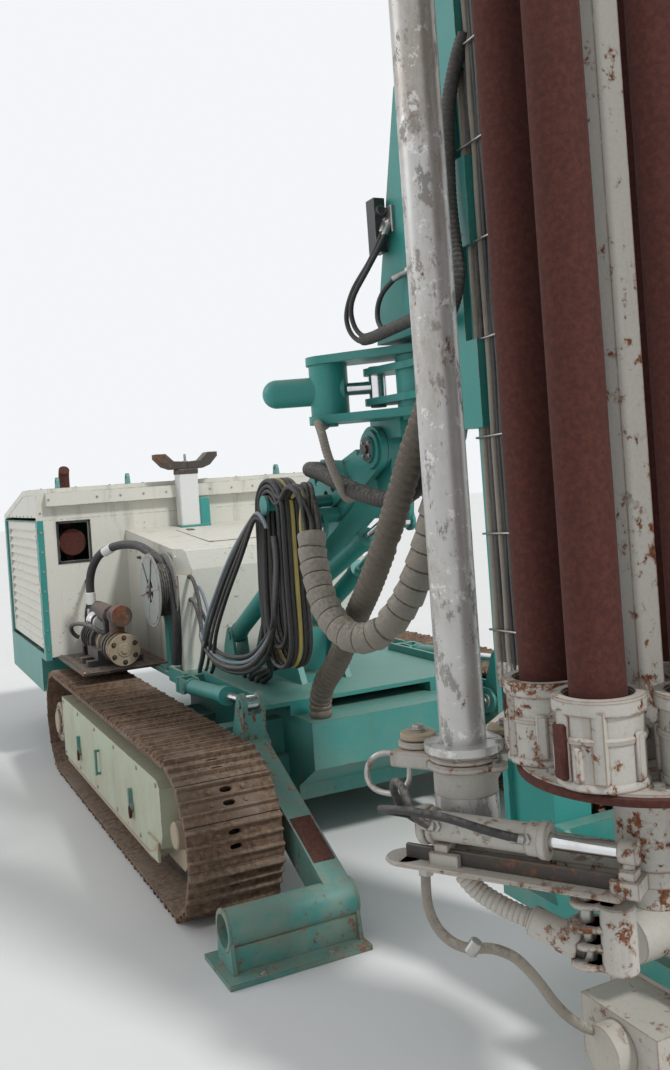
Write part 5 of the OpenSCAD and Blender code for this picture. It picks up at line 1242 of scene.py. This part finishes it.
def make_housing():
    """Hinges, hatch plate, catches, bolts and the frame of the front wall's cut-out."""
    p = Piece("housing_trim", "chassis", "teal_clean")
    for side, z in itertools.product((-1, 1), (820, 1180, 1540)):
        p.use = "cream"
        p.box((-1880, side * 1199 - 4, z - 34), (-1822, side * 1199 + 4, z + 34), 3)
        p.use = "bare"
        for k in (-1, 1):
            p.bolt((-1850, side * 1203, z + 20 * k), (0, side, 0), 6, 4)
    p.use = "cream"
    p.at((-1560, 0, 1491.5), x=(1185, 0, -102))
    p.box((0, -330, 0), (700, 330, 4), 2)
    p.use = "black"
    for y in (-250, 250):
        p.box((40, y - 22, 4), (110, y + 22, 10), 3)
    p.at()
    p.use = "bare"
    for y in range(-1120, 1121, 160):
        if not -1080 < y < -840:
            p.bolt((-1758, y, 1756), (1, 0, 0), 6, 4)
    for z, y in itertools.product(range(760, 1700, 130), (-1172, 1172)):
        p.bolt((-1813, y, z), (1, 0, 0), 6, 4)
    for x, s in itertools.product(range(-1700, -640, 150), (-1, 1)):
        p.bolt((x, 611 * s, 1372), (0, s, 0), 5, 4)
    p.use = "dark"
    for x, y in itertools.product((-1500, -900), (-626, 612)):
        p.box((x, y, 1330), (x + 60, y + 14, 1346), 3)
    p.use = "black"
    for y0, y1, z0, z1 in ((-1070, -850, 1590, 1608), (-1070, -850, 1322, 1340), (-1074, -1058, 1322, 1608),
                           (-862, -846, 1322, 1608)):
        p.box((-1817, y0, z0), (-1809, y1, z1), 2)
    p.make(smooth=32)


make_pump()
make_pump_hoses()
make_reel()
make_mast_rest()
make_housing()


# ---------------------------------------------------------------- boom, outriggers and track covers
def make_pin_caps():
    """Bolted caps over the mast's tilt pin."""
    b = Piece("boom_pin_caps", "boom", "black")
    x, z = 1119.5, 1879
    for y, s in ((-224, -1), (24, 1)):
        b.use = "black"
        b.rod((x, y, z), (x, y + s * 14, z), 56, 30, 4)
        b.rod((x, y + s * 13, z), (x, y + s * 22, z), 20, 6, 2)
        b.use = "bare"
        b.bolt_ring((x, y + s * 14, z), (0, s, 0), 40, 4, 45, 6, 6)
    b.make(smooth=36)


LEG_RUN, LEG_OUT = Vector((0.904, -0.426)), Vector((0.426, 0.904))
LEG_FROM, LEG_TO = 0.60, 0.86


def make_outrigger(side, name):
    """Pivot caps, foot rings, worn strip, gusset and plate bolts of one outrigger."""
    p = Piece(name + "_trim", name, "teal_worn")
    y = side * 700
    p.use = "bare"
    for s in (-1, 1):
        p.rod((640, y + s * 80, 560), (640, y + s * 94, 560), 34, 22)
        p.bolt((640, y + s * 94, 560), (0, s, 0), 15, 10)
    # end rings of the foot tube and a worn strip along the lever
    p.use = "teal_worn"
    y0, y1 = sorted((side * 640, side * 1160))
    for a, b in ((y0 - 3, y0 + 9), (y1 - 9, y1 + 3)):
        p.rod((1510, a, 150), (1510, b, 150), 78, 32, 3, hole=60)
    p.use = "rusty"
    strip = [Vector((640, 560)) + LEG_RUN * 962 * t + LEG_OUT * (77.5 - 8 * t + h)
             for t, h in ((LEG_FROM, 0), (LEG_TO, 0), (LEG_TO, 3), (LEG_FROM, 3))]
    p.prism(strip, "xz", y - 46, y + 46, 1)
    # gusset, and the bolts on the plate
    p.use = "teal_worn"
    p.prism([(1225, 235), (1436, 96), (1436, 70), (1225, 190)], "xz", y - 8, y + 8, 2)
    p.use = "bare"
    for x, t in itertools.product((1400, 1635), (790, 1060)):
        p.bolt((x, side * t, 20), (0, 0, 1), 11, 9)
    p.make(smooth=36)


def make_covers():
    """Hub caps, ledges, wedges, shackle rings and bolts of both track covers."""
    p = Piece("cover_trim", "chassis", "cover")
    for side in (-1, 1):
        p.use = "tan"
        for x, y0, y1, r, n, bevel in ((SPROCKET_X, 1150, 1172, 124, 36, 5), (SPROCKET_X, 1170, 1190, 72, 30, 5),
                                       (IDLER_X, 1095, 1165, 58, 26, 6)):
            p.rod((x, side * y0, TRACK_Z), (x, side * y1, TRACK_Z), r, n, bevel)
        p.use = "bare"
        p.bolt_ring((SPROCKET_X, side * 1172, TRACK_Z), (0, side, 0), 100, 10, 0, 9, 7)
        # tan ledge below the cover and the wedge at its front
        p.use = "tan"
        y0, y1 = sorted((side * 1110, side * 1182))
        p.box((-1330, y0, 140), (640, y1, 166), 5)
        y0, y1 = sorted((side * 1188, side * 1198))
        p.prism([(615, 168), (795, 232), (800, 262), (778, 262), (700, 205), (615, 196)], "xz", y0, y1, 3)
        # rings on the two shackles and the cover's bolts
        p.use = "rusty"
        for x in (-890, 325):
            p.at((x, side * 1198, 272), z=(0.15, 1, 0))
            p.turned([(7 * s, 25 + 7 * c) for c, s in round_points(10)], 22, True)
        p.at()
        p.use = "bare"
        for x, z in itertools.product((-1340, -900, -450, 0, 450, 780), (196, 505)):
            if x < 700 or z > 300:
                p.bolt((x, side * 1185, z), (0, side, 0), 9, 6)
    p.make(smooth=36)


make_pin_caps()
make_outrigger(-1, "outrigger_right")
make_outrigger(1, "outrigger_left")
make_covers()


# ---------------------------------------------------------------- rear, roof, mast and head
def make_gables():
    """The side panels between the doors and the sloping roof."""
    g = Piece("gable_panels", "chassis", "cream")
    for side in (-1, 1):
        y0, y1 = sorted((side * 1184, side * 1192))
        g.use = "cream"
        g.prism([(-3408, 1640), (-1862, 1640), (-1862, 1820), (-2352, 1820), (-3408, 1652)], "xz", y0, y1, 2)
        g.use = "bare"
        for x in range(-3300, -1860, 180):
            g.bolt((x, side * 1192, 1650), (0, side, 0), 6, 4)
    g.make(smooth=30)


def make_grilles():
    """Two framed louvre panels. They lie within the rear wall's thickness, so they don't show."""
    p = Piece("rear_grilles", "chassis", "black")
    for y0, y1 in ((-1060, -60), (60, 1060)):
        p.use = "black"
        p.box((-3411, y0, 900), (-3407, y1, 1520), 1)
        p.use = "teal_clean"
        for a, b, z0, z1 in ((y0 - 20, y1 + 20, 880, 902), (y0 - 20, y1 + 20, 1518, 1540), (y0 - 20, y0 + 2, 880, 1540),
                             (y1 - 2, y1 + 20, 880, 1540)):
            p.box((-3418, a, z0), (-3408, b, z1), 3)
        for z in range(922, 1482, 43):
            p.prism([(-3417, z), (-3408, z + 24), (-3408, z + 29), (-3417, z + 6)], "xz", y0, y1, 0.8)
        p.use = "bare"
        for y, z in itertools.product((y0 - 10, y1 + 10), (930, 1210, 1490)):
            p.bolt((-3418, y, z), (-1, 0, 0), 6, 1)
    p.make(smooth=30)


def make_roof():
    """Seams of the roof and the bolts along its ridge."""
    r = Piece("roof_trim", "chassis", "cream")
    for y in (-600, 0, 600):
        r.box((-2340, y - 14, 1828), (-1830, y + 14, 1833), 2)
        r.at((-2352, y, 1829), x=(-1067, 0, -170))
        r.box((0, -14, 0), (1066, 14, 4), 2)
        r.at()
    r.use = "bare"
    for y, x in itertools.product(range(-1150, 1151, 230), (-1845, -2330)):
        r.bolt((x, y, 1830), (0, 0, 1), 7, 5)
    r.make(smooth=30)


def make_mast_trim():
    """Bolts of the rails, plates up the mast's back and the caps of its top sheave."""
    p = Piece("mast_trim", "mast", "bare")
    for z, (y, s) in itertools.product(range(700, 6150, 420), ((-302, -1), (102, 1))):
        p.bolt((2386, y, z), (0, s, 0), 10, 8)
    p.use = "teal_clean"
    for z in range(560, 6200, 700):
        p.box((2116, -250, z), (2122, 50, z + 60), 3)
    p.use = "black"
    for s in (-1, 1):
        p.rod((2330, -100 + s * 52, 6360), (2330, -100 + s * 62, 6360), 30, 20)
    p.make(smooth=36)


HEAD_Z = 4490


def make_head_trim():
    """Caps, flanges, ports and valve block of the rotary head, with its two motor hoses."""
    p = Piece("head_trim", "head", "black")
    z = HEAD_Z
    for y in (-210, 10):
        p.use = "black"
        p.rod((2660, y, z + 555), (2660, y, z + 590), 58, 28, 5)
        p.rod((2660, y, z + 350), (2660, y, z + 362), 92, 28, 3, hole=60)
        p.use = "bare"
        p.bolt_ring((2660, y, z + 362), (0, 0, 1), 76, 4, 45, 9, 8)
        for k in (-1, 1):
            p.rod((2660, y + 20 * k, z + 440), (2600, y + 26 * k, z + 440), 14, 6)
    p.bolt_ring((2860, -100, z + 320), (0, 0, 1), 134, 12, 0, 9, 8)
    p.bolt_ring((2860, -100, z), (0, 0, -1), 134, 12, 0, 9, 8)
    p.use = "teal_clean"
    p.box((2470, -340, z + 180), (2520, -240, z + 330), 4)
    p.use = "bare"
    for y in range(-332, -253, 26):
        p.rod((2500, y, z + 325), (2500, y, z + 362), 11, 6)
    p.make(smooth=36)
    for k, y in enumerate((-236, -16)):
        end = -280 + 26 * k
        hose(f"head_hose_{k + 1}", "head",
             [(2604, y, z + 440), (2556, y + 4, z + 446), (2500, y + 20 - 30 * k, z + 490),
              (2480, y - 10 - 60 * k, z + 560), (2486, (y + end) / 2 - 12, z + 588 + 30 * k), (2496, end - 8, z + 520),
              (2500, end, z + 440), (2500, end, z + 340)], 10, bend=60)


def make_low_hoses():
    """Hoses that hang in a low curve from the hood's front to the bottom of the hank."""
    for k, (r, mat) in enumerate(((12, "hose"), (10, "grey_hose"), (13, "hose_dust"), (11, "hose"))):
        y0, z0 = -545 + 45 * (k % 2), 1250 - 66 * k
        yy = -572 - 7 * (k % 3)
        low = 800 + 26 * (3 - k)
        pts = [(-634, y0, z0), (-585, y0 - 2, z0 + 4), (-500, y0 - 6, z0 - 40), (-430 + 8 * k, y0 - 8, z0 - 160),
               (-372 + 12 * k, yy, 930 + 16 * (3 - k)), (-250 + 10 * k, yy - 4, low + 42), (-60, yy - 8, low + 8),
               (190, yy - 8, low + 14), (430, yy - 4, low + 62), (610, yy + 6, low + 160), (715, -572 + 3 * k, 1110),
               (752 + 9 * k, -566, 1260), (778 + 9 * k, -562, 1400), (772 + 8 * k, -562, 1520)]
        hose(f"low_hose_{k + 1}", ("chassis", "boom", (-300, -570, 900), (520, -570, 960)), pts, r, mat, 8)


make_gables()
make_grilles()
make_roof()
make_mast_trim()
make_head_trim()
make_low_hoses()
